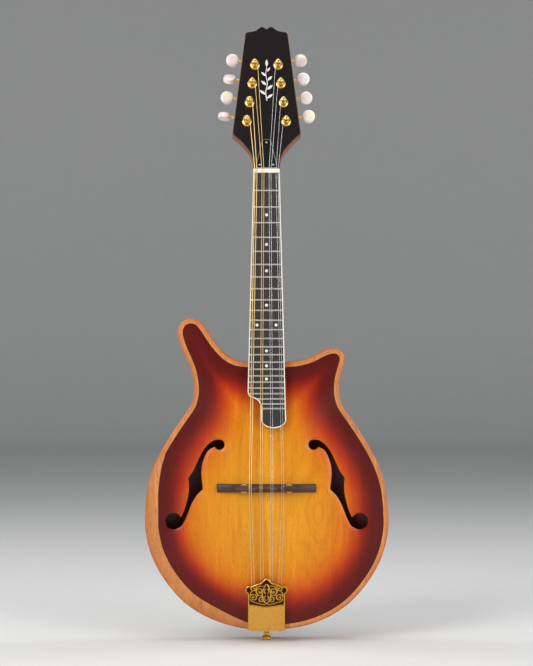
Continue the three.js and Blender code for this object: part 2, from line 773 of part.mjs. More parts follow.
function neckWood() {
  const toNeck = headGroup.matrix;
  const head = slab(headShape(), headWoodFront, headWoodBack, 6);
  const overlaySeat = box(-headWidth, headWidth, -neckThickness, headWoodFront, -GAP, headLength);
  const rodSlot = trussRodRadius + GAP;
  const slotBack = neckFront + trussRodDepth + rodSlot;
  return carve([neckShaft(), neckHeel(), neckTongue(), neckTenon(), head.applyMatrix4(toNeck)], [
    box(-rodSlot, rodSlot, neckFront - 1, slotBack, rodLow - 2, headStart + 1),
    trussPocket().applyMatrix4(toNeck),
    overlaySeat.applyMatrix4(toNeck),
    ...postHoles(0, headWoodBack + PAST).map((hole) => hole.applyMatrix4(toNeck)),
  ]);
}

function headOverlay() {
  return carve([slab(headShape(), 0, overlayThickness, 6)], [
    trussPocket(), ...postHoles(-PAST, overlayThickness + PAST),
  ]);
}

const rodEnd = headStart + 2; // the rod's threaded end stands in the headstock pocket
const rodY0 = neckFront + trussRodDepth;
const trussNutLength = 8.5;

function trussRod() {
  return rodZ(trussRodRadius, rodLow, rodEnd - GAP, 0, rodY0, 10);
}

function trussNut() {
  return rodZ(trussNutRadius, rodEnd, rodEnd + trussNutLength, 0, rodY0, 6);
}

function trussCover() {
  const base = coverWidth / 2;
  const half = [
    [base, 0.6], [0.84 * base, 11], [0.67 * base, 20.5], [0.5 * base, 29.5],
    [0.4 * base, 0.93 * coverLength], [0.21 * base, 0.985 * coverLength], [0, coverLength],
  ];
  return slab(outline(mirrored(half)), -GAP - coverThickness, -GAP);
}

// Fingerboard outline from the nut end, `inset` inside its outer edge.
function boardOutline(inset) {
  const bassEnd = jointToNut - fretAt(bassSideEndFret);
  const tongueEnd = bassEnd - tongueLength;
  const nutEnd = jointToNut;
  const right = (z) => boardHalf(z) - inset;
  const tongueRight = right(tongueEnd);
  const tongueLeft = -tongueInset + inset;
  const middle = (tongueRight + tongueLeft) / 2;
  const shape = [];
  shape.push([right(nutEnd), nutEnd], [-right(nutEnd), nutEnd]);
  shape.push([-right(bassEnd + 2), bassEnd + 2]);
  shape.push([-right(bassEnd) + 1.6, bassEnd - 2.4 + inset * 0.7]);
  shape.push([-14 + inset * 0.5, bassEnd - 5.6 + inset]);
  shape.push([-9 + inset * 0.8, bassEnd - 9.2 + inset * 0.8]);
  shape.push([tongueLeft - 0.5, bassEnd - 14]);
  shape.push([tongueLeft, bassEnd - 19]);
  const round = 6;
  for (let i = 0; i <= round; i += 1) {
    const angle = Math.PI + (Math.PI * i) / round;
    const x = middle + ((tongueRight - tongueLeft) / 2) * Math.cos(angle);
    shape.push([x, tongueEnd + tongueRadius + (tongueRadius - inset) * Math.sin(angle)]);
  }
  return shape;
}

function fingerboard() {
  const shape = outline(boardOutline(bindingWidth + GAP));
  return slab(shape, 0, boardThickness);
}

// One strip of binding down the bass side, round the tongue's end and up the treble side.
function boardBinding() {
  const outer = boardOutline(0);
  const inner = boardOutline(bindingWidth);
  const strip = [...outer.slice(1), outer[0], inner[0], ...inner.slice(1).reverse()];
  return slab(outline(strip), 0, boardThickness);
}

function nut() {
  const shape = new THREE.Shape();
  const low = jointToNut + GAP;
  const high = low + nutLength - GAP;
  shape.moveTo(low, neckFront - GAP);
  shape.lineTo(high, neckFront - GAP);
  shape.lineTo(high, 0.6);
  shape.quadraticCurveTo(high - 0.6, -liftAtNut + 1.1, low, -liftAtNut + 0.82);
  const depth = boardWidthAtNut;
  const geometry = new THREE.ExtrudeGeometry(shape, { depth, bevelEnabled: false, curveSegments: 4 });
  // (along, over) of the outline become (z, y), and the extrusion runs across
  const axes = new THREE.Matrix4().makeBasis(
    new THREE.Vector3(0, 0, 1), new THREE.Vector3(0, 1, 0), new THREE.Vector3(-1, 0, 0));
  return closed(geometry.applyMatrix4(axes).translate(boardWidthAtNut / 2, 0, 0));
}

// ---------------------------------------------------------------- bridge pieces

const pegLift = sheet + 1.7; // string centre over the tailpiece leaf's underside
const saddleStringY = rimFront - stringHeightAtSaddle;
const tailPeg = inBody(tailGroup, 0, -pegLift, pegFromTail);
const stringFall = (tailPeg.y - saddleStringY) / (bridgeZ - tailPeg.z); // slope behind the saddle
const saddleTop = saddleStringY + stringRadii[0] + GAP + (saddleWidth / 2) * stringFall;
const baseFoot = topFace(0, bridgeZ) - GAP;
const baseTop = baseFoot - bridgeBaseHeight;
const wheelBack = baseTop - adjusterTravel - GAP;
const wheelFront = wheelBack - wheelThickness;
const saddleBack = wheelFront - GAP;
const studShare = 0.4; // of the saddle's height that the studs stand into
const studTip = saddleBack - (saddleBack - saddleTop) * studShare;
const studFloor = 1.2; // base wood left under the studs
const studFoot = baseFoot - studFloor;

function bridgeBase() {
  const half = bridgeLength / 2;
  const stations = 10;
  const under = [];
  for (let i = 0; i <= stations; i += 1) {
    const x = half - (2 * half * i) / stations;
    const feet = [-1, 1].map((edge) => topFace(x, bridgeZ + (edge * bridgeWidth) / 2));
    under.push([x, Math.min(...feet) - GAP]);
  }
  const endY = under[0][1] - bridgeEndHeight;
  const shape = outline([
    ...under,
    [-half, under[stations][1] - bridgeEndHeight],
    [-saddleLength / 2, baseTop],
    [saddleLength / 2, baseTop],
    [half, endY],
  ]);
  const holes = [-1, 1].map((side) =>
    rodY(studRadius + GAP, baseTop - PAST, studFoot + GAP, (side * studSpacing) / 2, bridgeZ, 10));
  return carve([bar(shape, bridgeZ - bridgeWidth / 2, bridgeZ + bridgeWidth / 2)], holes);
}

function bridgeSaddle() {
  const half = saddleLength / 2;
  const shape = new THREE.Shape();
  shape.moveTo(-half + 3, saddleBack);
  shape.lineTo(half - 3, saddleBack);
  shape.quadraticCurveTo(half + 0.6, saddleBack, half, (saddleBack + saddleTop) / 2);
  shape.quadraticCurveTo(half - 1, saddleTop + 0.8, half - 9, saddleTop);
  shape.lineTo(-half + 9, saddleTop);
  shape.quadraticCurveTo(-half + 1, saddleTop + 0.8, -half, (saddleBack + saddleTop) / 2);
  shape.quadraticCurveTo(-half - 0.6, saddleBack, -half + 3, saddleBack);
  const holes = [-1, 1].map((side) =>
    rodY(studRadius + RUNNING, studTip - adjusterTravel - GAP, saddleBack + PAST,
      (side * studSpacing) / 2, bridgeZ, 10));
  return carve([bar(shape, bridgeZ - saddleWidth / 2, bridgeZ + saddleWidth / 2, 4)], holes);
}

function thumbwheel(x) {
  const rim = [];
  const knurls = 16;
  const knurlDepth = 0.35;
  for (let i = 0; i < knurls * 2; i += 1) {
    const angle = (Math.PI * i) / knurls;
    const radius = wheelRadius - (i % 2) * knurlDepth;
    rim.push([radius * Math.cos(angle), radius * Math.sin(angle)]);
  }
  const disc = slab(outline(rim), wheelFront, wheelBack);
  const hole = rodY(studRadius + RUNNING, wheelFront - 1, wheelBack + 1, 0, 0, 10);
  return carve([disc], [hole]).translate(x, 0, bridgeZ);
}

// ---------------------------------------------------------------- tailpiece pieces

function stringX(course, twin, courseSpacing, twinSpacing) {
  return (course - 1.5) * courseSpacing + (twin - 0.5) * twinSpacing;
}

function tailpieceBase() {
  const half = tailpieceWidth / 2 - tailpieceBaseInset;
  const leaf = box(-half, half, -sheet, 0, 0, tailpieceBaseLength).applyMatrix4(tailGroup.matrix);
  const flangeTop = rimFront - GAP;
  const flange = box(-half, half, flangeTop - sheet, flangeTop + tailFlangeDepth,
    bodyTail - GAP - sheet, bodyTail - GAP);
  const bend = box(-half, half, flangeTop - sheet, flangeTop, bodyTail - GAP - sheet, bodyTail + 0.1);
  const pegs = [];
  for (let course = 0; course < 4; course += 1) {
    for (let twin = 0; twin < 2; twin += 1) {
      const x = stringX(course, twin, courseSpacingAtTail, pairSpacingAtTail);
      const peg = rodY(pegRadius, -sheet - pegHeight, -sheet / 2, x, pegFromTail, 6);
      pegs.push(peg.applyMatrix4(tailGroup.matrix));
    }
  }
  return carve([leaf, bend, flange, ...pegs], [
    rodZ(strapHoleRadius, 0, bodyTail + PAST, 0, 0),
    tailHole(-1, bodyTail),
    tailHole(1, bodyTail),
  ]);
}

function tailScrew(side) {
  const headLow = bodyTail - GAP - sheet - GAP - tailScrewHead;
  const high = tailScrewHead + tailScrewLength;
  const r = tailScrewRadius + 1.4;
  const profile = [
    [0, 0], [r - 0.7, 0.2], [r, tailScrewHead - 0.4], [r, tailScrewHead],
    [tailScrewRadius, tailScrewHead], [tailScrewRadius, high - 2], [0, high],
  ];
  return turned(profile, 10).rotateX(Math.PI / 2).translate(tailScrewX(side), tailScrewY, headLow);
}

function tailpieceCover() {
  const half = tailpieceWidth / 2;
  const low = 1;
  const earX = half - 1.2;
  const earZ = coverSide + coverEarRadius + GAP;
  const ear = [];
  for (let i = 0; i <= 5; i += 1) {
    const angle = rad(-65 + 36 * i);
    ear.push([earX + coverEarRadius * Math.cos(angle), earZ + coverEarRadius * Math.sin(angle)]);
  }
  const right = [
    [half, low], [half, coverSide], ...ear, [0.6 * half, coverCrest - 7.4],
    [0.38 * half, coverCrest - 5.2], [0.15 * half, coverCrest - 1.6], [0, coverCrest],
  ];
  const inside = sheet + coverRise;
  const face = slab(outline(mirrored(right)), -inside - coverSheet, -inside);
  const flange = (side) => {
    const xs = [side * half, side * (half - coverSheet)].sort((a, b) => a - b);
    return box(...xs, -inside - coverSheet / 2, -GAP, low, coverSide);
  };
  return carve([face, flange(-1), flange(1)]);
}

// ---------------------------------------------------------------- strings

// A route of straight stretches: even steps in t land on the points themselves.
class Route extends THREE.Curve {
  constructor(points) {
    super();
    this.points = points;
  }

  getPoint(t, target = new THREE.Vector3()) {
    const place = t * (this.points.length - 1);
    const before = Math.min(Math.floor(place), this.points.length - 2);
    return target.lerpVectors(this.points[before], this.points[before + 1], place - before);
  }

  getPointAt(t, target) {
    return this.getPoint(t, target);
  }

  getTangentAt(t, target = new THREE.Vector3()) {
    const step = 0.25 / (this.points.length - 1);
    const from = this.getPoint(Math.max(t - step, 0));
    return this.getPoint(Math.min(t + step, 1), target).sub(from).normalize();
  }
}

// Course 0 is G, on the bass side; each course's strings go to posts from the nut end outwards.
function stringRoute(course, twin) {
  const radius = stringRadii[course];
  const side = course < 2 ? -1 : 1;
  const outer = course < 2 ? twin : 1 - twin;
  const number = (course === 0 || course === 3 ? 0 : 2) + outer;
  const post = postAt(side, number);
  const nutX = stringX(course, twin, courseSpacingAtNut, pairSpacing);
  const wrap = postRadius + GAP + radius;
  const saddleX = stringX(course, twin, courseSpacingAtSaddle, pairSpacing);
  const tailX = stringX(course, twin, courseSpacingAtTail, pairSpacingAtTail);
  const points = [
    inBody(tailGroup, tailX, -pegLift, pegFromTail + pegRadius + GAP),
    new THREE.Vector3(saddleX, saddleStringY, bridgeZ),
    inBody(neckGroup, nutX, -liftAtNut, jointToNut + nutLength / 2),
  ];
  const stepsInTurn = 8;
  const pitch = 2 * radius + GAP;
  for (let i = 0; i <= stepsInTurn * windTurns; i += 1) {
    const turns = i / stepsInTurn;
    const x = post.x - side * wrap * Math.cos(2 * Math.PI * turns);
    const z = post.z + wrap * Math.sin(2 * Math.PI * turns);
    points.push(inBody(headGroup, x, -windHeight + pitch * turns, z));
  }
  return new Route(points);
}

function string(course, twin) {
  const route = stringRoute(course, twin);
  const radius = stringRadii[course];
  const sides = 5;
  const section = outline([...Array(sides).keys()].map((i) => [
    radius * Math.cos((2 * Math.PI * i) / sides),
    radius * Math.sin((2 * Math.PI * i) / sides),
  ]));
  const steps = route.points.length - 1;
  return closed(new THREE.ExtrudeGeometry(section, { steps, extrudePath: route, bevelEnabled: false }));
}

// ---------------------------------------------------------------- tuner pieces

// A key is built along +X, then turned to its side of the headstock and set beside its post.
function placeKey(geometry, { side, x, z }) {
  if (side < 0) geometry.rotateY(Math.PI);
  return geometry.translate(0, 0, wormOffset).rotateY(-side * rad(rowTilt)).translate(x, 0, z);
}

function tunerPost({ side, x, z }) {
  const gearBack = wormDepth + gearThickness / 2;
  const gearFront = wormDepth - gearThickness / 2;
  const rim = [];
  for (let i = 0; i < gearTeeth * 2; i += 1) {
    const angle = (Math.PI * i) / gearTeeth;
    const radius = gearRadius - (i % 2) * gearToothHeight;
    rim.push([radius * Math.cos(angle), radius * Math.sin(angle)]);
  }
  const gear = slab(outline(rim), gearFront, gearBack);
  const r = postRadius;
  const post = turned([
    [0, -postReach], [r - 1, -postReach + 0.1], [r, -postReach + 1.2],
    [r, gearFront + 0.5], [0, gearFront + 0.5],
  ], 10);
  return carve([post, gear]).translate(x, 0, z);
}

// Along +X from the inner lug to inside the button.
function wormShaft() {
  const r = keyShaftRadius;
  const half = tunerPlateWidth / 2;
  const worm = half - tunerLugThickness - 2 * RUNNING; // half the worm's length
  const inner = -half - 2 * GAP; // the shaft's end stands out of the inner lug
  const end = buttonCentre - 1;
  const profile = [
    [0, inner], [r, inner], [r, -worm], [wormRadius, -worm], [wormRadius, worm], [r, worm],
    [r, end], [0, end],
  ];
  return turned(profile, 8).rotateZ(-Math.PI / 2).translate(0, wormDepth, 0);
}

function tunerButton(turn) {
  const r = buttonRadius;
  const t = buttonThickness / 2;
  const disc = turned([
    [0, -t + 0.5], [r * 0.62, -t], [r - 0.7, -t + 1], [r, 0], [r - 0.7, t - 1], [r * 0.62, t],
    [0, t - 0.5],
  ], 12);
  const collar = rodX(keyShaftRadius + 1.15, -r - 1.4, -r + 2, 0, 0, 10);
  const bore = rodX(keyShaftRadius + GAP, -r - PAST, -1 + GAP, 0, 0, 8);
  return carve([disc, collar], [bore]).rotateX(rad(turn)).translate(buttonCentre, wormDepth, 0);
}

function tunerPlate(side) {
  const low = postAt(side, 0);
  const length = postSpacing * (tunersPerSide - 1);
  const half = tunerPlateWidth / 2;
  const front = headWoodBack + GAP;
  const back = tunerPlateBack;
  const lugBack = wormDepth + keyShaftRadius + tunerLugThickness;
  const below = gearRadius + tunerPlateMargin;
  const above = wormOffset + tunerLugWidth / 2 + tunerPlateMargin;
  const pieces = [box(-half, half, front, back, -below, length + above)];
  const holes = [];
  for (let i = 0; i < tunersPerSide; i += 1) {
    const z = i * postSpacing;
    holes.push(rodY(postHoleRadius, front - 1, back + 1, 0, z, 10));
    const [lugLow, lugHigh] = [-0.5, 0.5].map((share) => z + wormOffset + share * tunerLugWidth);
    for (const end of [-1, 1]) {
      const xs = [end * half, end * (half - tunerLugThickness)].sort((a, b) => a - b);
      pieces.push(box(...xs, back - tunerPlateThickness / 2, lugBack, lugLow, lugHigh));
      holes.push(rodX(keyShaftRadius + RUNNING, xs[0] - 1, xs[1] + 1, wormDepth, z + wormOffset, 8));
    }
  }
  return carve(pieces, holes).rotateY(-side * rad(rowTilt)).translate(low.x, 0, low.z);
}

// ---------------------------------------------------------------- assembly

const topPlate = carve(
  [archedPlate(topEdge, rimFront, -1, topThickness, topArch)],
  [fHole(-1), fHole(1)],
);
const backPlate = archedPlate(backEdge, rimBack, 1, backThickness, backArch);

add(mandolin, 'body_rim', bodyRim(), 'rimWood');
add(mandolin, 'top_plate', topPlate, 'topWood');
add(mandolin, 'back_plate', backPlate, 'rimWood');
add(mandolin, 'neck_block', neckBlock(), 'innerWood');
add(mandolin, 'tail_block', tailBlock(), 'innerWood');
add(mandolin, 'bass_tone_bar', toneBar(-1), 'innerWood');
add(mandolin, 'treble_tone_bar', toneBar(1), 'innerWood');
add(mandolin, 'strap_button', strapButton(), 'gold');

add(neckGroup, 'neck', neckWood(), 'neckWood');
add(neckGroup, 'truss_rod', trussRod(), 'steel');
add(neckGroup, 'truss_rod_nut', trussNut(), 'steel');
add(neckGroup, 'fingerboard', fingerboard(), 'boardWood');
add(neckGroup, 'fingerboard_binding', boardBinding(), 'ivoroid');
add(neckGroup, 'nut', nut(), 'ivoroid');
add(headGroup, 'headstock_overlay', headOverlay(), 'overlayWood');
add(headGroup, 'truss_rod_cover', trussCover(), 'blackPlastic');

add(mandolin, 'bridge_base', bridgeBase(), 'bridgeWood');
add(mandolin, 'bridge_saddle', bridgeSaddle(), 'bridgeWood');
for (const [side, name] of [[-1, 'bass'], [1, 'treble']]) {
  const x = (side * studSpacing) / 2;
  add(mandolin, `${name}_thumbwheel`, thumbwheel(x), 'gold');
  add(mandolin, `${name}_bridge_stud`, rodY(studRadius, studTip, studFoot, x, bridgeZ, 10), 'gold');
  add(mandolin, `${name}_tailpiece_screw`, tailScrew(side), 'gold');
  add(headGroup, `${name}_tuner_plate`, tunerPlate(side), 'gold');
}
add(mandolin, 'tailpiece_base', tailpieceBase(), 'gold');
add(tailGroup, 'tailpiece_cover', tailpieceCover(), 'gold');

for (const [course, note] of ['g', 'd', 'a', 'e'].entries()) {
  for (const twin of [0, 1]) {
    add(mandolin, `${note}_string_${twin + 1}`, string(course, twin), course < 2 ? 'bronze' : 'steel');
  }
}

for (const post of eachPost) {
  const label = `${post.side < 0 ? 'bass' : 'treble'}_${post.number + 1}`;
  const turns = post.side < 0 ? bassButtonTurns : trebleButtonTurns;
  const onRow = (geometry) => placeKey(geometry, post);
  add(headGroup, `string_post_${label}`, tunerPost(post), 'gold');
  add(headGroup, `worm_shaft_${label}`, onRow(wormShaft()), 'gold');
  add(headGroup, `tuner_button_${label}`, onRow(tunerButton(turns[post.number])), 'pearloid');
}

export default mandolin;
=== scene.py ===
import json
import math

import bmesh
import bpy
import numpy as np
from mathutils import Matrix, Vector, geometry


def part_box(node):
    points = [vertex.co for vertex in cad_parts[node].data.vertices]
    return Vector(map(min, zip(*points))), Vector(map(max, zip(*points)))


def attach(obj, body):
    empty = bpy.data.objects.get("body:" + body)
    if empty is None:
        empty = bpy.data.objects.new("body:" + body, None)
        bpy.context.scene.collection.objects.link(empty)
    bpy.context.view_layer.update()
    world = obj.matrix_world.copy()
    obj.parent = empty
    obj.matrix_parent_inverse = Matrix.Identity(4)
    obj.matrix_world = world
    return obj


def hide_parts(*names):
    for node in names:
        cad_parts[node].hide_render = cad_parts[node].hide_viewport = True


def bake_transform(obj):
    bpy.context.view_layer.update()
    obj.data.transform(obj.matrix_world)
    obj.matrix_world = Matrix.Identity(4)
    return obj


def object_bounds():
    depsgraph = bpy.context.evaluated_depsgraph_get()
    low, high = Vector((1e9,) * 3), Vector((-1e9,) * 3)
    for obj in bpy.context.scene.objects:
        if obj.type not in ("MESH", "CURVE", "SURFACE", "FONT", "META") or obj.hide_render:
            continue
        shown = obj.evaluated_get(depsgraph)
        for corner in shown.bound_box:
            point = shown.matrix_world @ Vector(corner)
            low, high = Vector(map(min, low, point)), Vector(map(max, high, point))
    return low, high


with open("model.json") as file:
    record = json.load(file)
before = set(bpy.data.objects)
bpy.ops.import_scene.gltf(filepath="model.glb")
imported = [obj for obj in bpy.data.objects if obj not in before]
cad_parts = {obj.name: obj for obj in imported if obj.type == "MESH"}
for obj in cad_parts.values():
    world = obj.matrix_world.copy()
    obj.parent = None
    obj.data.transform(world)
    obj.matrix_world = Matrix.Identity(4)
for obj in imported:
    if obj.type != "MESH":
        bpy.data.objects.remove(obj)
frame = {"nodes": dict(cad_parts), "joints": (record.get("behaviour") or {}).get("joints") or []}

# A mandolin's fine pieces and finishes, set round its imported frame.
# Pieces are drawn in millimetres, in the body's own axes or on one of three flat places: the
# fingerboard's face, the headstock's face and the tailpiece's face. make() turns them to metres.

cad_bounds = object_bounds()
MM = 0.001
GAP = 0.3  # kept in the frame between pieces that touch
SNUG = 0.05  # what the fine pieces keep instead
ACROSS = np.array([1.0, 0, 0])
PI = math.pi

# ---------------------------------------------------------------- places read from the frame


def corners(node):
    """The corners of a frame node, in millimetres."""
    found = np.array([v.co for v in frame["nodes"][node].data.vertices], float)
    return np.unique(np.round(found / MM, 4), axis=0)


def low_high(node):
    """The low and high corners of a frame node's box, in millimetres."""
    low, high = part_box(node)
    return np.array(low) / MM, np.array(high) / MM


def joint(name):
    """A joint's row in the frame."""
    return next(j for j in frame["joints"] if j["name"] == name)


class Plane:
    """A flat place: x runs across, `out` stands off it to the front, and `up` runs along it."""

    def __init__(self, origin, up):
        self.up = np.array(up, float) / np.linalg.norm(up)
        self.out = np.cross(ACROSS, self.up)
        self.origin = np.array(origin, float)

    def at(self, x, out, up):
        """Points of the plane, in the body's axes."""
        x, out, up = np.broadcast_arrays(np.asarray(x, float), out, up)
        return (self.origin + x[..., None] * ACROSS + out[..., None] * self.out
                + up[..., None] * self.up)

    def of(self, points):
        """(x, out, up) of points given in the body's axes."""
        away = np.asarray(points, float) - self.origin
        return np.stack([away @ ACROSS, away @ self.out, away @ self.up], axis=-1)


def plane_on(node, up, end):
    """The plane on a node's front face; up is 0 at its lowest end (end=min) or highest (end=max)."""
    flat = Plane((0, 0, 0), up)
    seen = flat.of(corners(node))
    return Plane(flat.at(0, seen[:, 1].max(), end(seen[:, 2])), up)


def front_plane_up(axis):
    """The way up a plane whose front normal is `axis`."""
    return np.cross(np.array(axis, float), ACROSS)


body = Plane((0, 0, 0), (0, 0, 1))
neck = plane_on("fingerboard", joint("truss_rod_nut_turn")["axis"], max)
head = plane_on("headstock_overlay", front_plane_up(joint("post_bass_1_turn")["axis"]), min)
tail = plane_on("tailpiece_cover", joint("tailpiece_cover_slide")["axis"], min)

# ---------------------------------------------------------------- outlines


def smooth_line(points, steps=6, closed=False):
    """A Catmull-Rom line through points, `steps` to each stretch."""
    p = np.asarray(points, float)
    n = len(p)
    if closed:
        before, after, ahead = np.roll(p, 1, 0), np.roll(p, -1, 0), np.roll(p, -2, 0)
    else:
        before = np.vstack([2 * p[0] - p[1], p[:-1]])
        after = np.vstack([p[1:], p[-1:]])
        ahead = np.vstack([p[2:], 2 * p[-1:] - p[-2:-1], p[-1:]])
    line = []
    for i in range(n if closed else n - 1):
        a, b, c, d = before[i], p[i], after[i], ahead[i]
        for t in np.arange(steps) / steps:
            line.append(0.5 * (2 * b + (c - a) * t + (2 * a - 5 * b + 4 * c - d) * t ** 2
                               + (3 * b - a - 3 * c + d) * t ** 3))
    if not closed:
        line.append(p[-1])
    return np.array(line)


def even_line(points, spacing, closed=False):
    """The same line with points an even distance apart."""
    p = np.vstack([points, points[:1]]) if closed else np.asarray(points)
    run = np.r_[0, np.cumsum(np.linalg.norm(np.diff(p, axis=0), axis=1))]
    count = max(int(round(run[-1] / spacing)), 3)
    wanted = np.linspace(0, run[-1], count + 1)
    if closed:
        wanted = wanted[:-1]
    return np.stack([np.interp(wanted, run, p[:, k]) for k in range(p.shape[1])], axis=1)


def rounded(points, radii, steps=4, closed=True):
    """A polyline with each corner rounded by its radius; every corner gives the same point count."""
    p = np.asarray(points, float)
    radii = np.broadcast_to(radii, len(p))
    line = []
    for i, corner in enumerate(p):
        if radii[i] == 0 or (not closed and i in (0, len(p) - 1)):
            line.append(corner)
            continue
        back, on = p[i - 1] - corner, p[(i + 1) % len(p)] - corner
        reach_back, reach_on = np.linalg.norm(back), np.linalg.norm(on)
        cut = min(radii[i], 0.49 * reach_back, 0.49 * reach_on)
        start, stop = corner + back * cut / reach_back, corner + on * cut / reach_on
        for t in np.linspace(0, 1, steps + 1):
            line.append((1 - t) ** 2 * start + 2 * t * (1 - t) * corner + t ** 2 * stop)
    return np.array(line)


def arc(centre, radius, start, stop, steps):
    """Points along part of a circle, between two angles in degrees."""
    turn = np.radians(np.linspace(start, stop, steps + 1))
    return np.stack([centre[0] + radius * np.cos(turn), centre[1] + radius * np.sin(turn)], axis=1)


def circle(centre, radius, steps):
    """Points round a whole circle, anticlockwise."""
    return arc(centre, radius, 0, 360, steps)[:-1]


def normals(loop):
    """Unit vectors that point to the left of a closed loop's way round: inward if anticlockwise."""
    along = np.roll(loop, -1, 0) - np.roll(loop, 1, 0)
    along /= np.linalg.norm(along, axis=1)[:, None]
    return np.stack([-along[:, 1], along[:, 0]], axis=1)


def anticlockwise(loop):
    """The loop, turned round if it runs clockwise."""
    x, y = loop[:, 0], loop[:, 1]
    area = np.sum(x * np.roll(y, -1) - np.roll(x, -1) * y)
    return loop if area > 0 else loop[::-1]


def mirrored(half):
    """An even outline from its treble half, whose last point is on the middle line."""
    return anticlockwise(np.vstack([half, (half * (-1, 1))[::-1][1:]]))


def inside(loop, points):
    """Which points lie inside a closed loop."""
    a, b = loop, np.roll(loop, -1, 0)
    x, y = points[:, 0, None], points[:, 1, None]
    crosses = (a[:, 1] > y) != (b[:, 1] > y)
    with np.errstate(divide="ignore", invalid="ignore"):
        at = a[:, 0] + (y - a[:, 1]) * (b[:, 0] - a[:, 0]) / (b[:, 1] - a[:, 1])
    return (crosses & (x < at)).sum(axis=1) % 2 == 1


def distance_to(loop, points, closed=True):
    """How far each point is from a line."""
    a = np.asarray(loop, float)
    b = np.roll(a, -1, 0)
    if not closed:
        a, b = a[:-1], b[:-1]
    least = np.full(len(points), np.inf)
    for p, q in zip(a, b):
        way = q - p
        share = np.clip((points - p) @ way / max(way @ way, 1e-12), 0, 1)
        least = np.minimum(least, np.linalg.norm(points - p - share[:, None] * way, axis=1))
    return least


# ---------------------------------------------------------------- making pieces


def make(name, parts, finish, rides="root", stands_for=(), crease=38, values=None, weigh=True):
    """One piece from (points, faces) parts in millimetres, with its finish and body."""
    points, faces, start = [], [], 0
    for part_points, part_faces in parts:
        part_points = np.asarray(part_points, float).reshape(-1, 3)
        points.append(part_points)
        faces += [tuple(int(i) + start for i in face) for face in part_faces]
        start += len(part_points)
    points = np.vstack(points)
    mesh = bpy.data.meshes.new(name)
    mesh.from_pydata([tuple(p) for p in points * MM], [], faces)
    for label, numbers in (values or {}).items():
        kind = "FLOAT_VECTOR" if np.ndim(numbers) == 2 else "FLOAT"
        attribute = mesh.attributes.new(label, kind, "POINT")
        key = "vector" if kind == "FLOAT_VECTOR" else "value"
        attribute.data.foreach_set(key, np.ascontiguousarray(numbers, np.float32).ravel())
    tidy = bmesh.new()
    tidy.from_mesh(mesh)
    bmesh.ops.remove_doubles(tidy, verts=tidy.verts, dist=1e-7)
    bmesh.ops.dissolve_degenerate(tidy, edges=tidy.edges, dist=1e-8)
    bmesh.ops.recalc_face_normals(tidy, faces=tidy.faces)
    tidy.to_mesh(mesh)
    tidy.free()
    mesh.shade_smooth()
    mesh.set_sharp_from_angle(angle=math.radians(crease))
    piece = bpy.data.objects.new(name, mesh)
    bpy.context.scene.collection.objects.link(piece)
    mesh.materials.append(finish)
    if weigh:
        flat = piece.modifiers.new("flat_faces_stay_flat", "WEIGHTED_NORMAL")
        flat.keep_sharp = True
        flat.weight = 90  # large faces set the shading of the small ones beside them
    if rides:
        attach(piece, rides)
    if stands_for:
        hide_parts(*stands_for)
    return piece


def carve(piece, tools, way="DIFFERENCE"):
    """Sets tools to cut a piece ("DIFFERENCE") or to be joined to it ("UNION")."""
    for tool in tools:
        cut = piece.modifiers.new("carve", "BOOLEAN")
        cut.operation, cut.solver, cut.object = way, "EXACT", tool


def carved_parts(piece):
    """A piece's parts once its tools have been applied; the piece and its tools go."""
    depsgraph = bpy.context.evaluated_depsgraph_get()
    mesh = bpy.data.meshes.new_from_object(piece.evaluated_get(depsgraph))
    points = np.array([v.co for v in mesh.vertices]) / MM
    faces = [tuple(p.vertices) for p in mesh.polygons]
    for spare in [piece, *[m.object for m in piece.modifiers if m.type == "BOOLEAN"]]:
        bpy.data.objects.remove(spare)
    return [(points, faces)]


def skin(rings, ends="flat"):
    """A skin through equal rings of points. ends: "flat" caps them, "joined" closes the rings
    on themselves, "open" leaves them."""
    rings = np.asarray(rings, float)
    count, around = rings.shape[:2]
    faces = []
    for r in range(count if ends == "joined" else count - 1):
        here, there = r * around, ((r + 1) % count) * around
        for i in range(around):
            j = (i + 1) % around
            faces.append((here + i, here + j, there + j, there + i))
    if ends == "flat":
        faces.append(tuple(range(around))[::-1])
        faces.append(tuple(range((count - 1) * around, count * around)))
    return rings.reshape(-1, 3), faces


def spin(profile, place, axis, sides=40):
    """(radius, along) pairs turned round an axis. Pairs on the axis close the ends."""
    axis = np.array(axis, float) / np.linalg.norm(axis)
    across = np.array([0, 0, 1.0]) if abs(ACROSS @ axis) > 0.9 else ACROSS
    u = across - (across @ axis) * axis
    u /= np.linalg.norm(u)
    v = np.cross(axis, u)
    turn = np.arange(sides) * 2 * PI / sides
    circle_points = np.cos(turn)[:, None] * u + np.sin(turn)[:, None] * v
    rings = [np.array(place) + along * axis + radius * circle_points for radius, along in profile]
    return skin(rings, "joined" if profile[0][0] > 0 and profile[-1][0] > 0 else "open")


def sweep(points, radius, sides=10):
    """A round tube along a line of points, with closed ends."""
    p = np.asarray(points, float)
    along = np.gradient(p, axis=0)
    along /= np.linalg.norm(along, axis=1)[:, None]
    side = np.cross(along[0], (0.3, 0.9, 0.2))
    side /= np.linalg.norm(side)
    turn = np.arange(sides) * 2 * PI / sides
    rings = []
    for i, way in enumerate(along):
        side = side - (side @ way) * way
        side /= np.linalg.norm(side)
        up = np.cross(way, side)
        rings.append(p[i] + radius * (np.cos(turn)[:, None] * side + np.sin(turn)[:, None] * up))
    return skin(rings)


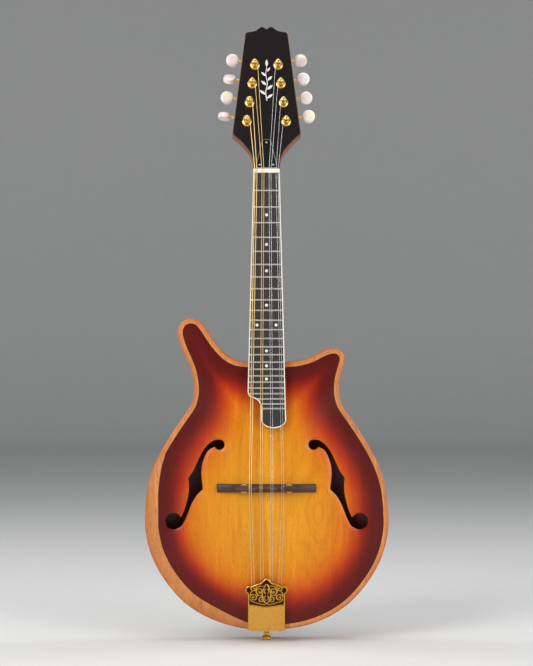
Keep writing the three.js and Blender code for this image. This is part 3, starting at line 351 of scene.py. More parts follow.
def block(plane, outline, low, high, ease=0.3, steps=3):
    """An outline made solid between two `out` levels, with its long edges eased."""
    outline = anticlockwise(np.asarray(outline, float))
    inward = normals(outline)
    rings = []
    for t in np.linspace(0, PI / 2, steps + 1):
        shrunk = outline + inward * ease * (1 - math.sin(t))
        rings.append(plane.at(shrunk[:, 0], low + ease * (1 - math.cos(t)), shrunk[:, 1]))
    for t in np.linspace(PI / 2, 0, steps + 1):
        shrunk = outline + inward * ease * (1 - math.sin(t))
        rings.append(plane.at(shrunk[:, 0], high - ease * (1 - math.cos(t)), shrunk[:, 1]))
    return skin(rings)


def sheet_points(outer, holes, spacing):
    """A flat sheet of triangles with holes: its points and its triangles."""
    loops = [anticlockwise(outer)] + [anticlockwise(h)[::-1] for h in holes]
    edge_points = np.vstack(loops)
    low, high = outer.min(0), outer.max(0)
    columns = np.arange(low[0], high[0], spacing)
    rows = np.arange(low[1], high[1], spacing * 0.866)  # rows of even-sided triangles
    grid = np.array([[x + (r % 2) * spacing / 2, y] for r, y in enumerate(rows) for x in columns])
    clear = inside(loops[0], grid)
    for loop in loops[1:]:
        clear &= ~inside(loop, grid)
    grid = grid[clear]
    room = np.min([distance_to(loop, grid) for loop in loops], axis=0)
    grid = grid[room > 0.55 * spacing]
    lines, start = [], 0
    for loop in loops:
        count = len(loop)
        lines += [(start + i, start + (i + 1) % count) for i in range(count)]
        start += count
    given = np.vstack([edge_points, grid])
    found, _, faces, _, _, _ = geometry.delaunay_2d_cdt(
        [Vector(p) for p in given], lines, [], 0, 1e-5)
    flat = np.array([tuple(p) for p in found])
    faces = np.array([tuple(f) for f in faces])
    middle = flat[faces].mean(axis=1)
    keep = inside(loops[0], middle)
    for loop in loops[1:]:
        keep &= ~inside(loop, middle)
    return flat, faces[keep]


def thick_sheet(flat, faces, front, back):
    """A closed body from a flat sheet of triangles and its front and back places."""
    count = len(flat)
    sides = [side for a, b, c in faces for side in ((a, b), (b, c), (c, a))]
    shared = set(sides)
    walls = [(a, b, b + count, a + count) for a, b in sides if (b, a) not in shared]
    both = [tuple(f) for f in faces] + [tuple(np.array(f)[::-1] + count) for f in faces] + walls
    return np.vstack([front, back]), both

# ---------------------------------------------------------------- finishes


def colour(code):
    """An sRGB hex colour as linear light."""
    parts = [int(code[i:i + 2], 16) / 255 for i in (0, 2, 4)]
    return [c / 12.92 if c <= 0.04045 else ((c + 0.055) / 1.055) ** 2.4 for c in parts] + [1.0]


def add(tree, kind, settings=(), **inputs):
    """One node with its settings and its inputs: a value, a hex colour, or the socket that feeds it.
    An input is given by name, or by number as _0, _1 and so on; `stops` fills a colour ramp."""
    made = tree.nodes.new("ShaderNode" + kind)
    for key, value in dict(settings).items():
        if key != "stops":
            setattr(made, key, value)
            continue
        while len(made.color_ramp.elements) < len(value):
            made.color_ramp.elements.new(1.0)
        for element, (place, code) in zip(made.color_ramp.elements, value):
            element.position = place
            element.color = colour(code) if isinstance(code, str) else [code] * 3 + [1.0]
    for key, value in inputs.items():
        plug = made.inputs[int(key[1:])] if key[0] == "_" else made.inputs[key.replace("_", " ")]
        if isinstance(value, bpy.types.NodeSocket):
            tree.links.new(value, plug)
        else:
            plug.default_value = colour(value) if isinstance(value, str) else value
    return made


def new_finish(name, slot, **shader):
    """An empty material and its surface shader. Its slot is not used."""
    made = bpy.data.materials.new(name)
    made.use_nodes = True
    tree = made.node_tree
    tree.nodes.clear()
    surface = add(tree, "BsdfPrincipled", **shader)
    add(tree, "OutputMaterial", Surface=surface.outputs[0])
    return made, tree, surface


def millimetres(tree, stretch=(1, 1, 1)):
    """The place on the piece in millimetres, with each axis squeezed by its stretch."""
    place = add(tree, "TexCoord").outputs["Object"]
    squeeze = [1 / MM / s for s in stretch]
    return add(tree, "VectorMath", {"operation": "MULTIPLY"}, _0=place, _1=squeeze).outputs[0]


def wood(tree, surface, base, light, dark, fibre, rings=7.0, pore=0.45, pore_run=7.0,
         pore_depth=0.5, figure=0.35, bump=0.06):
    """Timber's own look over a base colour: growth rings `rings` mm apart, pores `pore` mm wide and
    `pore_run` mm long, and a silky figure. `fibre` is the axis that the fibres run along.
    Pores are drawn wider than the real 0.1 to 0.2 mm so that they show."""
    along = [1.0, 1.0, 1.0]
    along[fibre] = pore_run / pore
    streaks = add(tree, "TexNoise", Scale=1 / pore, Detail=3.0, Roughness=0.6,
                  Vector=millimetres(tree, along))
    pores = add(tree, "ValToRGB", {"stops": [(0.0, 1.0), (0.36, 1.0), (0.44, 0.0), (1.0, 0.0)]},
                Fac=streaks.outputs[0])
    along[fibre] = 26.0  # growth lines run this many times longer than they are wide
    growth = add(tree, "TexNoise", Scale=1 / rings, Detail=4.0, Roughness=0.55, Distortion=0.6,
                 Vector=millimetres(tree, along))
    rungs = add(tree, "ValToRGB", {"stops": [(0.30, 0.0), (0.46, 0.55), (0.52, 0.35), (0.70, 1.0)]},
                Fac=growth.outputs[0])
    along[fibre] = 5.0  # and the silky figure, 22 mm wide, this many
    silk = add(tree, "TexNoise", Scale=1 / 22.0, Detail=2.0, Vector=millimetres(tree, along))
    lit = add(tree, "MixRGB", {"blend_type": "MULTIPLY"}, Fac=figure, Color1=base,
              Color2=add(tree, "MixRGB", Fac=rungs.outputs[0], Color1=dark, Color2=light).outputs[0])
    silky = add(tree, "MixRGB", {"blend_type": "OVERLAY"}, Fac=0.22, Color1=lit.outputs[0],
                Color2=silk.outputs[0])
    holes = add(tree, "MixRGB", Fac=pores.outputs[0], Color1="ffffff", Color2=dark)
    pored = add(tree, "MixRGB", {"blend_type": "MULTIPLY"}, Fac=pore_depth, Color1=silky.outputs[0],
                Color2=holes.outputs[0])
    tree.links.new(pored.outputs[0], surface.inputs["Base Color"])
    sunk = add(tree, "Bump", {"invert": True}, Strength=bump, Distance=0.0002, Height=pores.outputs[0])
    tree.links.new(sunk.outputs[0], surface.inputs["Normal"])


# the stain from the body's edge, at 0, to 110 mm in, at 1
BURST_STOPS = [
    (0.00, "560803"), (0.10, "600a03"), (0.15, "761203"), (0.20, "942103"), (0.25, "ae3403"),
    (0.31, "c55004"), (0.38, "d46c08"), (0.48, "dc860e"), (0.62, "e29615"), (1.00, "e9a322"),
]
BACK_STOPS = [
    (0.00, "4a1509"), (0.14, "5c1c0b"), (0.30, "7e300f"), (0.55, "96461a"), (1.00, "a2511f"),
]
FIGURE_CENTRE = (58.0, 0.0, 60.0)
FIGURE_LONG = 2.4  # the oval figure is this many times longer than wide
FIGURE_LINE = 2 * PI / 0.62  # mm from one of its growth lines to the next
ALONG, SIDEWAYS = 2, 0  # fibres that run up the instrument, or across it


def sunburst_top():
    """Mahogany top, sprayed amber to red-brown from the middle out, under satin lacquer: the stain
    follows the outline, pores stay fine and dark, and the sheen is soft."""
    made, tree, surface = new_finish("sunburst_lacquered_top", "top_sunburst", Roughness=0.34,
                                     IOR=1.5, Specular_IOR_Level=0.24, Coat_Weight=0.06,
                                     Coat_Roughness=0.2)
    spread = add(tree, "Attribute", {"attribute_name": "burst"}).outputs["Fac"]
    cloud = add(tree, "TexNoise", Scale=1 / 30.0, Detail=2.0, Vector=millimetres(tree))
    uneven = add(tree, "MapRange", Value=cloud.outputs[0], To_Min=-0.02, To_Max=0.02)
    stain = add(tree, "Math", {"operation": "ADD"}, _0=spread, _1=uneven.outputs[0])
    burst = add(tree, "ValToRGB", {"stops": BURST_STOPS}, Fac=stain.outputs[0])
    # a flat-sawn figure: an oval of growth lines low on the treble side
    oval = millimetres(tree, (1, 1, FIGURE_LONG))
    centre = add(tree, "VectorMath", {"operation": "SUBTRACT"}, _0=oval, _1=FIGURE_CENTRE)
    flat = add(tree, "VectorMath", {"operation": "MULTIPLY"}, _0=centre.outputs[0], _1=(1, 0, 1))
    reach = add(tree, "VectorMath", {"operation": "LENGTH"}, _0=flat.outputs[0])
    wander = add(tree, "TexNoise", Scale=1 / 26.0, Detail=2.0, Vector=oval)
    bent = add(tree, "Math", {"operation": "MULTIPLY_ADD"}, _0=wander.outputs[0], _1=22.0,
               _2=reach.outputs["Value"])
    wave = add(tree, "Math", {"operation": "SINE"},
               _0=add(tree, "Math", {"operation": "MULTIPLY"}, _0=bent.outputs[0],
                      _1=2 * PI / FIGURE_LINE).outputs[0])
    near = add(tree, "MapRange", Value=reach.outputs["Value"], From_Min=8.0, From_Max=44.0,
               To_Min=0.15, To_Max=0.03)
    drawn = add(tree, "Math", {"operation": "MULTIPLY"},
                _0=add(tree, "MapRange", Value=wave.outputs[0], From_Min=0.2).outputs[0],
                _1=near.outputs[0])
    lines = add(tree, "MixRGB", {"blend_type": "MULTIPLY"}, Fac=drawn.outputs[0],
                Color1=burst.outputs[0], Color2="b0622a")
    wood(tree, surface, lines.outputs[0], "fff4e0", "b98a58", fibre=ALONG, rings=9.0, pore=0.5,
         pore_run=9.0, pore_depth=0.4, figure=0.5, bump=0.05)
    return made


def bare_rim():
    """The same mahogany left bare of stain at the edge and sides, under thin satin lacquer: pale
    orange-brown, with its pores running the length of the instrument. Painted shade makes it darker
    and redder towards its outer side wall."""
    made, tree, surface = new_finish("bare_mahogany_rim", "rim_mahogany", Roughness=0.42, IOR=1.5,
                                     Coat_Weight=0.15, Coat_Roughness=0.35)
    shade = add(tree, "Attribute", {"attribute_name": "shade"}).outputs["Fac"]
    # painted shade: darker and redder towards the outer side wall, lighter across the bands
    base = add(tree, "MixRGB", Fac=shade, Color1="e29a54", Color2="c9742f")
    wood(tree, surface, base.outputs[0], "fff0dc", "8e5a36", fibre=ALONG, rings=5.0, pore=0.5,
         pore_run=8.0, pore_depth=0.75, figure=0.55)
    return made


def stained_back():
    """Mahogany back, stained amber-brown under satin lacquer and darker towards its edge."""
    made, tree, surface = new_finish("stained_mahogany_back", "back_mahogany", Roughness=0.36,
                                     IOR=1.5, Coat_Weight=0.25, Coat_Roughness=0.3)
    spread = add(tree, "Attribute", {"attribute_name": "burst"}).outputs["Fac"]
    stain = add(tree, "ValToRGB", {"stops": BACK_STOPS}, Fac=spread)
    wood(tree, surface, stain.outputs[0], "fff0dc", "9a6a44", fibre=ALONG, rings=8.0, pore=0.55,
         pore_run=9.0, pore_depth=0.6, figure=0.6)
    return made


def stained_neck():
    """Mahogany neck, stained red-brown and rubbed to a satin that the hand can slide on."""
    made, tree, surface = new_finish("stained_mahogany_neck", "neck_mahogany", Roughness=0.4,
                                     IOR=1.5, Coat_Weight=0.15, Coat_Roughness=0.35)
    wood(tree, surface, colour("a4561f"), "fff0dc", "8e5a36", fibre=ALONG, rings=6.0, pore=0.5,
         pore_run=8.0, pore_depth=0.7, figure=0.55)
    return made


def raw_spruce():
    """Unfinished light wood inside the body, sawn and left dry."""
    made, tree, surface = new_finish("raw_inner_wood", "inner_wood", Roughness=0.85, IOR=1.45)
    wood(tree, surface, colour("c99f6c"), "fff4e2", "a9794a", fibre=ALONG, rings=2.4, pore=0.4,
         pore_depth=0.3, figure=0.6)
    return made


def gloss_overlay():
    """A near-black veneer polished under thick gloss lacquer: brown only where it catches light."""
    made, tree, surface = new_finish("gloss_dark_veneer", "ebony_overlay", Roughness=0.22, IOR=1.5,
                                     Coat_Weight=0.9, Coat_Roughness=0.06)
    wood(tree, surface, colour("130504"), "ffe2cc", "553b2c", fibre=ALONG, rings=4.0, pore=0.4,
         pore_depth=0.5, figure=0.5, bump=0.01)
    return made


def oiled_rosewood():
    """Indian rosewood, planed and oiled: a cool dark brown with open pores and faint streaks."""
    made, tree, surface = new_finish("oiled_rosewood_board", "fingerboard_rosewood", Roughness=0.5,
                                     IOR=1.48)
    wood(tree, surface, colour("332d2b"), "fff0e4", "6a564b", fibre=ALONG, rings=3.2, pore=0.4,
         pore_run=6.0, pore_depth=0.8, figure=0.7, bump=0.12)
    return made


def bridge_rosewood():
    """The bridge's rosewood, redder, with its fibres across the instrument."""
    made, tree, surface = new_finish("waxed_rosewood_bridge", "bridge_rosewood", Roughness=0.42,
                                     IOR=1.48)
    wood(tree, surface, colour("4b2f2c"), "ffeadf", "6a4c42", fibre=SIDEWAYS, rings=2.6, pore=0.4,
         pore_run=6.0, pore_depth=0.7, figure=0.6, bump=0.1)
    return made


def ivoroid():
    """Celluloid binding, scraped flush: warm white with a faint grain drawn through it."""
    made, tree, surface = new_finish("ivoroid_binding", "ivory_binding", Roughness=0.34, IOR=1.5,
                                     Subsurface_Weight=0.08, Subsurface_Scale=0.001)
    lines = add(tree, "TexNoise", Scale=1 / 0.8, Detail=2.0, Vector=millimetres(tree, (1, 1, 40)))
    tone = add(tree, "MixRGB", Fac=lines.outputs[0], Color1="e9dfc8", Color2="f8f2e4")
    tree.links.new(tone.outputs[0], surface.inputs["Base Color"])
    return made


def bone():
    """Bleached bone, filed and polished: creamy, with faint specks along its length."""
    made, tree, surface = new_finish("polished_bone_nut", "bone_nut", Roughness=0.3, IOR=1.54,
                                     Subsurface_Weight=0.12, Subsurface_Scale=0.001)
    specks = add(tree, "TexNoise", Scale=1 / 0.5, Detail=3.0, Vector=millimetres(tree, (8, 1, 1)))
    tone = add(tree, "ValToRGB", {"stops": [(0.30, "d9cba6"), (0.45, "efe7d0"), (1.0, "f8f3e4")]},
               Fac=specks.outputs[0])
    tree.links.new(tone.outputs[0], surface.inputs["Base Color"])
    return made


def pearl(name, cell, warm, cool, seed):
    """Pearloid buttons and shell inlays: clouded cells of white, pink and grey under gloss."""
    made, tree, surface = new_finish(name, "pearloid", Roughness=0.22, IOR=1.53, Coat_Weight=0.6,
                                     Coat_Roughness=0.08)
    place = add(tree, "VectorMath", {"operation": "ADD"}, _0=millimetres(tree), _1=(seed, 0, 0))
    swirl = add(tree, "TexNoise", Scale=1 / (2.2 * cell), Detail=3.0, Distortion=1.8,
                Vector=place.outputs[0])
    turned = add(tree, "MixRGB", Fac=0.72, Color1=place.outputs[0], Color2=swirl.outputs["Color"])
    flakes = add(tree, "TexVoronoi", {"feature": "SMOOTH_F1"}, Scale=1 / cell, Smoothness=0.7,
                 Vector=turned.outputs[0])
    clouds = add(tree, "ValToRGB", {"stops": [(0.15, cool), (0.42, "e6dfdc"), (0.62, warm),
                                              (0.85, "efe9e6")]}, Fac=swirl.outputs[0])
    tone = add(tree, "MixRGB", {"blend_type": "SOFT_LIGHT"}, Fac=0.5, Color1=clouds.outputs[0],
               Color2=flakes.outputs["Color"])
    tree.links.new(tone.outputs[0], surface.inputs["Base Color"])
    return made


def moulded_black():
    """Black sheet plastic, cut and buffed: fine scuffs break up a clear shine."""
    made, tree, surface = new_finish("buffed_black_plastic", "black_plastic", Roughness=0.2,
                                     IOR=1.5, Base_Color="0b0b0c")
    scuff = add(tree, "TexNoise", Scale=1 / 3.0, Detail=6.0, Vector=millimetres(tree))
    dull = add(tree, "MapRange", Value=scuff.outputs[0], To_Min=0.14, To_Max=0.34)
    tree.links.new(dull.outputs[0], surface.inputs["Roughness"])
    return made


def white_ply():
    """The white under-layer of the cover's sheet plastic, which shows as a thin line."""
    made, tree, surface = new_finish("white_plastic_ply", "black_plastic", Roughness=0.35, IOR=1.5)
    cloud = add(tree, "TexNoise", Scale=1 / 2.0, Detail=2.0, Vector=millimetres(tree))
    tone = add(tree, "MixRGB", Fac=cloud.outputs[0], Color1="c9c7c2", Color2="dedcd6")
    tree.links.new(tone.outputs[0], surface.inputs["Base Color"])
    return made


def metal(name, slot, tone, worn, rough, smudge=4.0, spread=0.12, grain=None, bump=0.006):
    """A plated or drawn metal: an even tone, faint smudges in its shine, and where `grain` is
    given, fine drawing lines stretched by it."""
    made, tree, surface = new_finish(name, slot, Metallic=1.0, Roughness=rough)
    marks = add(tree, "TexNoise", Scale=1 / smudge, Detail=4.0, Vector=millimetres(tree))
    dull = add(tree, "MapRange", Value=marks.outputs[0], To_Min=rough - spread / 2,
               To_Max=rough + spread)
    tree.links.new(dull.outputs[0], surface.inputs["Roughness"])
    tint = add(tree, "MixRGB", Fac=marks.outputs[0], Color1=tone, Color2=worn)
    tree.links.new(tint.outputs[0], surface.inputs["Base Color"])
    fine = add(tree, "TexNoise", Scale=1 / 0.25, Detail=2.0,
               Vector=millimetres(tree, grain or (1, 1, 1)))
    rough_skin = add(tree, "Bump", Strength=bump, Distance=0.0001, Height=fine.outputs[0])
    tree.links.new(rough_skin.outputs[0], surface.inputs["Normal"])
    return made, tree, surface, tint


def engraved_gold():
    """Gold-plated brass, stamped with scrolls: the ground keeps dark wax and the high lines shine."""
    made, tree, surface, tint = metal("engraved_gold_plate", "gold_plate", "e2ad52", "d39a3e", 0.24)
    sunk = add(tree, "Attribute", {"attribute_name": "sunk"}).outputs["Fac"]
    toned = add(tree, "MixRGB", Fac=sunk, Color1=tint.outputs[0], Color2="33200d")
    tree.links.new(toned.outputs[0], surface.inputs["Base Color"])
    return made


def wound_bronze():
    """Bronze wire wound on a steel core: drawn as 0.5 mm turns, twice the real pitch, to show.
    The grooves between the turns are darkened with painted shade.
    """
    made, tree, surface, tint = metal("wound_bronze_string", "wound_bronze", "ecd09a", "dab676", 0.34)
    along = add(tree, "Attribute", {"attribute_name": "along"}).outputs["Fac"]
    turns = add(tree, "Math", {"operation": "SINE"},
                _0=add(tree, "Math", {"operation": "MULTIPLY"}, _0=along, _1=2 * PI / 0.5).outputs[0])
    groove = add(tree, "MapRange", Value=turns.outputs[0], From_Min=-1.0, To_Min=0.55)
    # painted shade: the colour darkens in the grooves between the turns; the same groove value raises
    # the turns' bump
    shaded = add(tree, "MixRGB", {"blend_type": "MULTIPLY"}, Fac=0.5, Color1=tint.outputs[0],
                 Color2=groove.outputs[0])
    tree.links.new(shaded.outputs[0], surface.inputs["Base Color"])
    ridge = add(tree, "Bump", Strength=0.7, Distance=0.0001, Height=groove.outputs[0])
    tree.links.new(ridge.outputs[0], surface.inputs["Normal"])
    return made


TOP = sunburst_top()
RIM = bare_rim()
BACK = stained_back()
NECK = stained_neck()
INNER = raw_spruce()
VENEER = gloss_overlay()
BOARD = oiled_rosewood()
BRIDGE = bridge_rosewood()
IVOROID = ivoroid()
BONE = bone()
BUTTON = pearl("clouded_pearloid_button", 3.4, "dfcbc6", "c9c3c6", 3.0)
SHELL = pearl("shell_inlay", 1.6, "efe6e0", "c9d2d6", 11.0)
BLACK = moulded_black()
PLY = white_ply()
GOLD = metal("polished_gold_plate", "gold_plate", "f0c873", "e2b45c", 0.2)[0]
ENGRAVED = engraved_gold()
STEEL = metal("nickel_plated_steel", "steel_hardware", "c9c8c4", "b3b2ae", 0.26)[0]
FRET = metal("nickel_silver_fret", "steel_hardware", "d3d0c8", "bdbab2", 0.22, grain=(30, 1, 1))[0]
BRONZE = wound_bronze()
PLAIN = metal("drawn_steel_string", "plain_steel", "cdced0", "b4b5b8", 0.24, grain=(1, 1, 30))[0]

# ---------------------------------------------------------------- body

rim_low, rim_high = low_high("body_rim")
back_low, back_high = low_high("back_plate")
top_low, top_high = low_high("top_plate")
RIM_FRONT, RIM_BACK = rim_low[1], rim_high[1]
BODY_TAIL = rim_low[2]
NECK_SEAT = low_high("neck_block")[1][2] + 13.7  # the chamber ends this far short of the neck
BODY_LENGTH = NECK_SEAT - BODY_TAIL
EDGE_ROUND = 1.5  # of the frame's rim: its widest corners lie this far in front of its back
BAND = rim_high[0] - back_high[0] - GAP  # bare edge round the inset plates
BEVEL = top_low[0] - rim_low[0] - GAP  # width of the arm bevel
BEVEL_FALL = 8.0  # how far it slopes back
LEDGE = 7.0  # width of the ledges that hold the plates
TOP_THICK = top_high[1] - RIM_FRONT
BACK_THICK = RIM_BACK - back_low[1]
TOP_ARCH = RIM_FRONT - top_low[1]
BACK_ARCH = back_high[1] - RIM_BACK
MIDDLE = np.array([0, BODY_TAIL + 0.56 * BODY_LENGTH])  # where both plates arch highest


def frame_loop(node, level):
    """The corners of a frame node at one depth, in order round the outside, as (x, z)."""
    mesh = frame["nodes"][node].data
    place = {v.index: tuple(np.round(np.array(v.co) / MM, 3)) for v in mesh.vertices}
    on_level = {i for i, p in place.items() if abs(p[1] - level) < 0.01}
    nearby = {}
    for edge in mesh.edges:
        a, b = edge.vertices
        if a in on_level and b in on_level and place[a] != place[b]:
            nearby.setdefault(place[a], set()).add(place[b])
            nearby.setdefault(place[b], set()).add(place[a])
    start = min(nearby, key=lambda p: (p[2], abs(p[0])))
    loop, last = [start], None
    while True:
        onward = [p for p in nearby[loop[-1]] if p != last and p not in loop[1:]]
        last = loop[-1]
        following = onward[0]
        if following == start:
            return np.array([(p[0], p[2]) for p in loop])
        loop.append(following)


edge = anticlockwise(even_line(
    smooth_line(frame_loop("body_rim", RIM_BACK - EDGE_ROUND), 6, closed=True), 2.0, closed=True))
inward = normals(edge)


def bevel_share(points):
    """How much of the arm bevel there is, from 0 to 1: it grows from two thirds of the way up
    towards the tail, and from 15 mm to 75 mm out on the bass side."""
    up = (points[:, 1] - BODY_TAIL) / BODY_LENGTH
    rise = np.clip((0.67 - up) / 0.27, 0, 1)
    run = np.clip((-points[:, 0] - 15) / 60, 0, 1)
    return np.sin(PI / 2 * rise) * np.sin(PI / 2 * run)


bevel = bevel_share(edge)
front_band = BAND + (BEVEL - BAND) * bevel
front_edge = edge + inward * front_band[:, None]
back_edge = edge + inward * BAND


def plate_edge(line):
    """A plate's outline, fitted inside the rim."""
    return line + normals(line) * SNUG


class Reach:
    """Distance from the body's middle to a line round it, in any direction, evened out so that
    the arch has no fold where the line turns sharply."""

    def __init__(self, line):
        away = line - MIDDLE
        turn = np.arctan2(away[:, 0], away[:, 1])
        order = np.argsort(turn)
        size = np.linalg.norm(away, axis=1)[order]
        self.turn = np.radians(np.arange(-180, 180, 1.0))
        sampled = np.interp(self.turn, turn[order], size, period=2 * PI)
        near = 18  # each degree is evened out with as many on either side
        spread = np.exp(-0.5 * (np.arange(-near, near + 1) / (near / 3)) ** 2)
        wrapped = np.r_[sampled[-near:], sampled, sampled[:near]]
        self.size = np.convolve(wrapped, spread / spread.sum(), "valid")

    def __call__(self, turn):
        return np.interp(turn, self.turn, self.size, period=2 * PI)


ARCH_END = NECK_SEAT - BAND - MIDDLE[1]  # the arch ends level with the neck's seat
SOFT_CORNER = 12.0  # the greater, the sharper the turn from the line to that level
ARCH_RECURVE = 1.5  # the greater, the flatter the plate lies near its edge


def arch(points, reach):
    """Height of a plate's arch, as a share, over (x, z) points."""
    away = points - MIDDLE
    distance = np.linalg.norm(away, axis=1)
    turn = np.arctan2(away[:, 0], away[:, 1])
    size = reach(turn)
    level = ARCH_END / np.maximum(np.cos(turn), 0.05)
    size = (size ** -SOFT_CORNER + level ** -SOFT_CORNER) ** (-1 / SOFT_CORNER)
    return (1 - np.minimum(distance / size, 1) ** 2) ** ARCH_RECURVE


top_reach, back_reach = Reach(front_edge), Reach(back_edge)


def top_out(x, z):
    """How far the top's face stands off the body's mid-plane."""
    points = np.stack(np.broadcast_arrays(np.asarray(x, float), z), axis=-1).reshape(-1, 2)
    return -RIM_FRONT + TOP_ARCH * arch(points, top_reach)


def cavity_wall(line):
    """The chamber's wall on the rays from the middle through a line of band points."""
    away = line - MIDDLE
    size = np.linalg.norm(away, axis=1)
    way = away / size[:, None]
    room = low_high("neck_block")[1][2] + GAP - MIDDLE[1]
    flat = np.where(way[:, 1] > 0.05, room / np.maximum(way[:, 1], 0.05), np.inf)
    return MIDDLE + way * np.minimum(size - LEDGE, flat)[:, None]


def body_rim():
    """The rim, its ledges and its arm bevel, in one ring of sections."""
    wall = cavity_wall(front_edge)
    ledge_front, ledge_back = RIM_FRONT + TOP_THICK + GAP, RIM_BACK - BACK_THICK - GAP
    rings, shade = [], []
    for i, place in enumerate(edge):
        room = float(inward[i] @ (wall[i] - place))
        section = rounded([
            (front_band[i], ledge_front), (front_band[i], RIM_FRONT),
            (0, RIM_FRONT + BEVEL_FALL * bevel[i]), (0, -2), (0, RIM_BACK), (BAND, RIM_BACK),
            (BAND, ledge_back),
        ], [0, 0.25, 2.2, 0, 2.2, 0.25, 0], steps=5, closed=False)
        across = wall[i] - place - inward[i] * room
        ring = [(*(place + inward[i] * a), y) for a, y in section]
        ring += [(*(place + across + inward[i] * room), y) for y in (ledge_back, ledge_front)]
        rings.append([(x, y, z) for x, z, y in ring])
        # painted shade: 1 at the outer side wall, fading to 0 at the bands' inner edges and in the
        # chamber
        shade.append([min(1.0, max(0.0, 1 - a / BAND)) for a, y in section] + [0, 0])
    points, faces = skin(rings, "joined")
    make("bare_edged_rim", [(points, faces)], RIM, stands_for=["body_rim"], weigh=False,
         values={"shade": np.ravel(shade)})


F_HOLE_INSET = 57.75  # from the widest part of the side to the f-hole's middle
bridge_low, bridge_high = low_high("bridge_base")
BRIDGE_UP = (bridge_low[2] + bridge_high[2]) / 2
UPPER_EYE, LOWER_EYE = ((-26.7, 48.3), 5.9), ((25.1, -37.8), 9.5)  # centre and radius
# the stem's two sides; each has its nick at the point with index F_NICK
F_NICK = 6
F_OUTER = [
    (-26.7, 54.1), (-20.2, 53.2), (-12.8, 47.4), (-6.9, 39.2), (-2, 29.3), (3, 18.6),
    (8.5, 10.8), (7.5, 2.1), (8.3, -7.8), (11.2, -20.1), (14.1, -28.3), (18.4, -36.5),
]
F_INNER = [
    (25.1, -46.5), (16.9, -44.1), (12, -36.6), (7.9, -26.8), (3.8, -16.9), (-2, -7.8),
    (-8.2, -2), (-7.8, 2.9), (-6.6, 12.8), (-6.9, 22.7), (-9.4, 32.6), (-14.3, 41.7), (-22.3, 46.4),
]


def stem_side(points):
    """One side of the f-hole's stem: smooth, but for its nick."""
    return np.vstack([smooth_line(points[:F_NICK + 1]), smooth_line(points[F_NICK:])])


def f_hole(side):
    """An f-hole's outline: its stem with the two eyes joined on."""
    stem = anticlockwise(np.vstack([stem_side(F_OUTER), stem_side(F_INNER)]))
    stem = even_line(stem, 1.0, closed=True)
    points, faces, start = [], [], 0
    for loop in (stem, *(circle(centre, radius, 40) for centre, radius in (UPPER_EYE, LOWER_EYE))):
        points += [Vector(p) for p in loop]
        faces.append(list(range(start, start + len(loop))))
        start += len(loop)
    found, _, cells, _, _, _ = geometry.delaunay_2d_cdt(points, [], faces, 1, 1e-4)
    sides = [pair for cell in cells for pair in zip(cell, (*cell[1:], cell[0]))]
    shared = set(sides)
    border = {a: b for a, b in sides if (b, a) not in shared}
    start = max(border, key=lambda i: found[i][1])
    loop, at = [start], border[start]
    while at != start and len(loop) < len(border) + 1:
        loop.append(at)
        at = border[at]
    line = even_line(np.array([tuple(found[i]) for i in loop]), 1.1, closed=True)
    return line * (side, 1) + (side * (rim_high[0] - F_HOLE_INSET), BRIDGE_UP)


EDGE_DROP = 0.25  # how far a plate's outermost points are eased down
ON_EDGE = 0.02
F_HOLE_EASE = 0.8
BURST_REACH = 110.0  # the stain changes over this far in from the edge
BEVEL_BURST = 9.0  # the arm bevel takes this much of its dark edge


def top_plate():
    """The arched top, with both f-holes let through and their edges eased."""
    outline = plate_edge(front_edge)
    holes = [f_hole(side) for side in (-1, 1)]
    flat, faces = sheet_points(outline, holes, 3.0)
    near = np.min([distance_to(hole, flat) for hole in holes], axis=0)
    ease = F_HOLE_EASE
    fall = np.where(near < ease, ease - np.sqrt(np.maximum(ease ** 2 - (ease - near) ** 2, 0)), 0)
    fall += np.where(distance_to(outline, flat) < ON_EDGE, EDGE_DROP, 0)
    out = -RIM_FRONT + TOP_ARCH * arch(flat, top_reach)
    front = body.at(flat[:, 0], out - fall, flat[:, 1])
    back = body.at(flat[:, 0], out - TOP_THICK, flat[:, 1])
    points, both = thick_sheet(flat, faces, front, back)
    from_edge = distance_to(edge, flat)
    fade = 1 - np.clip((from_edge - 30) / 25, 0, 1)
    lost = BEVEL_BURST * bevel_share(flat) * fade
    burst = np.clip((from_edge - BAND - lost) / BURST_REACH, 0, 1)
    make("arched_sunburst_top", [(points, both)], TOP, stands_for=["top_plate"], weigh=False,
         crease=50, values={"burst": np.r_[burst, burst]})


def back_plate():
    """The arched back, whole."""
    outline = plate_edge(back_edge)
    flat, faces = sheet_points(outline, [], 4.0)
    out = RIM_BACK + BACK_ARCH * arch(flat, back_reach)
    fall = np.where(distance_to(outline, flat) < ON_EDGE, EDGE_DROP, 0)
    front = body.at(flat[:, 0], -(out - BACK_THICK), flat[:, 1])
    back = body.at(flat[:, 0], -(out - fall), flat[:, 1])
    points, both = thick_sheet(flat, faces, front, back)
    burst = np.clip(distance_to(edge, flat) / BURST_REACH, 0, 1)
    make("arched_back", [(points, both)], BACK, stands_for=["back_plate"], weigh=False,
         crease=50, values={"burst": np.r_[burst, burst]})


body_rim()
top_plate()
back_plate()

for part in ("neck_block", "tail_block", "bass_tone_bar", "treble_tone_bar"):
    frame["nodes"][part].data.materials[0] = INNER

# ---------------------------------------------------------------- neck, fingerboard and headstock

SCALE = 354.0  # of the open strings, from the nut to the saddle
BOARD_THICK = 4.5
nut_seen = neck.of(corners("nut"))
joint_up = float(neck.of([[0, RIM_FRONT, NECK_SEAT]])[0, 2])  # the neck's seat, under the board
NUT_HALF = float(np.abs(nut_seen[:, 0]).max())
BOARD_TAPER = 0.0502  # what the board gains in width for each mm down from the nut
HEAD_THICK = 13.55
OVERLAY = 2.0
NECK_TILT = math.radians(4.5)


def fret_up(number):
    """A fret's place along the board, below the nut."""
    return -SCALE * (1 - 2 ** (-number / 12))


def board_half(up):
    """Half the board's width at one place along it."""
    return NUT_HALF - BOARD_TAPER * np.minimum(np.asarray(up, float), 0) / 2


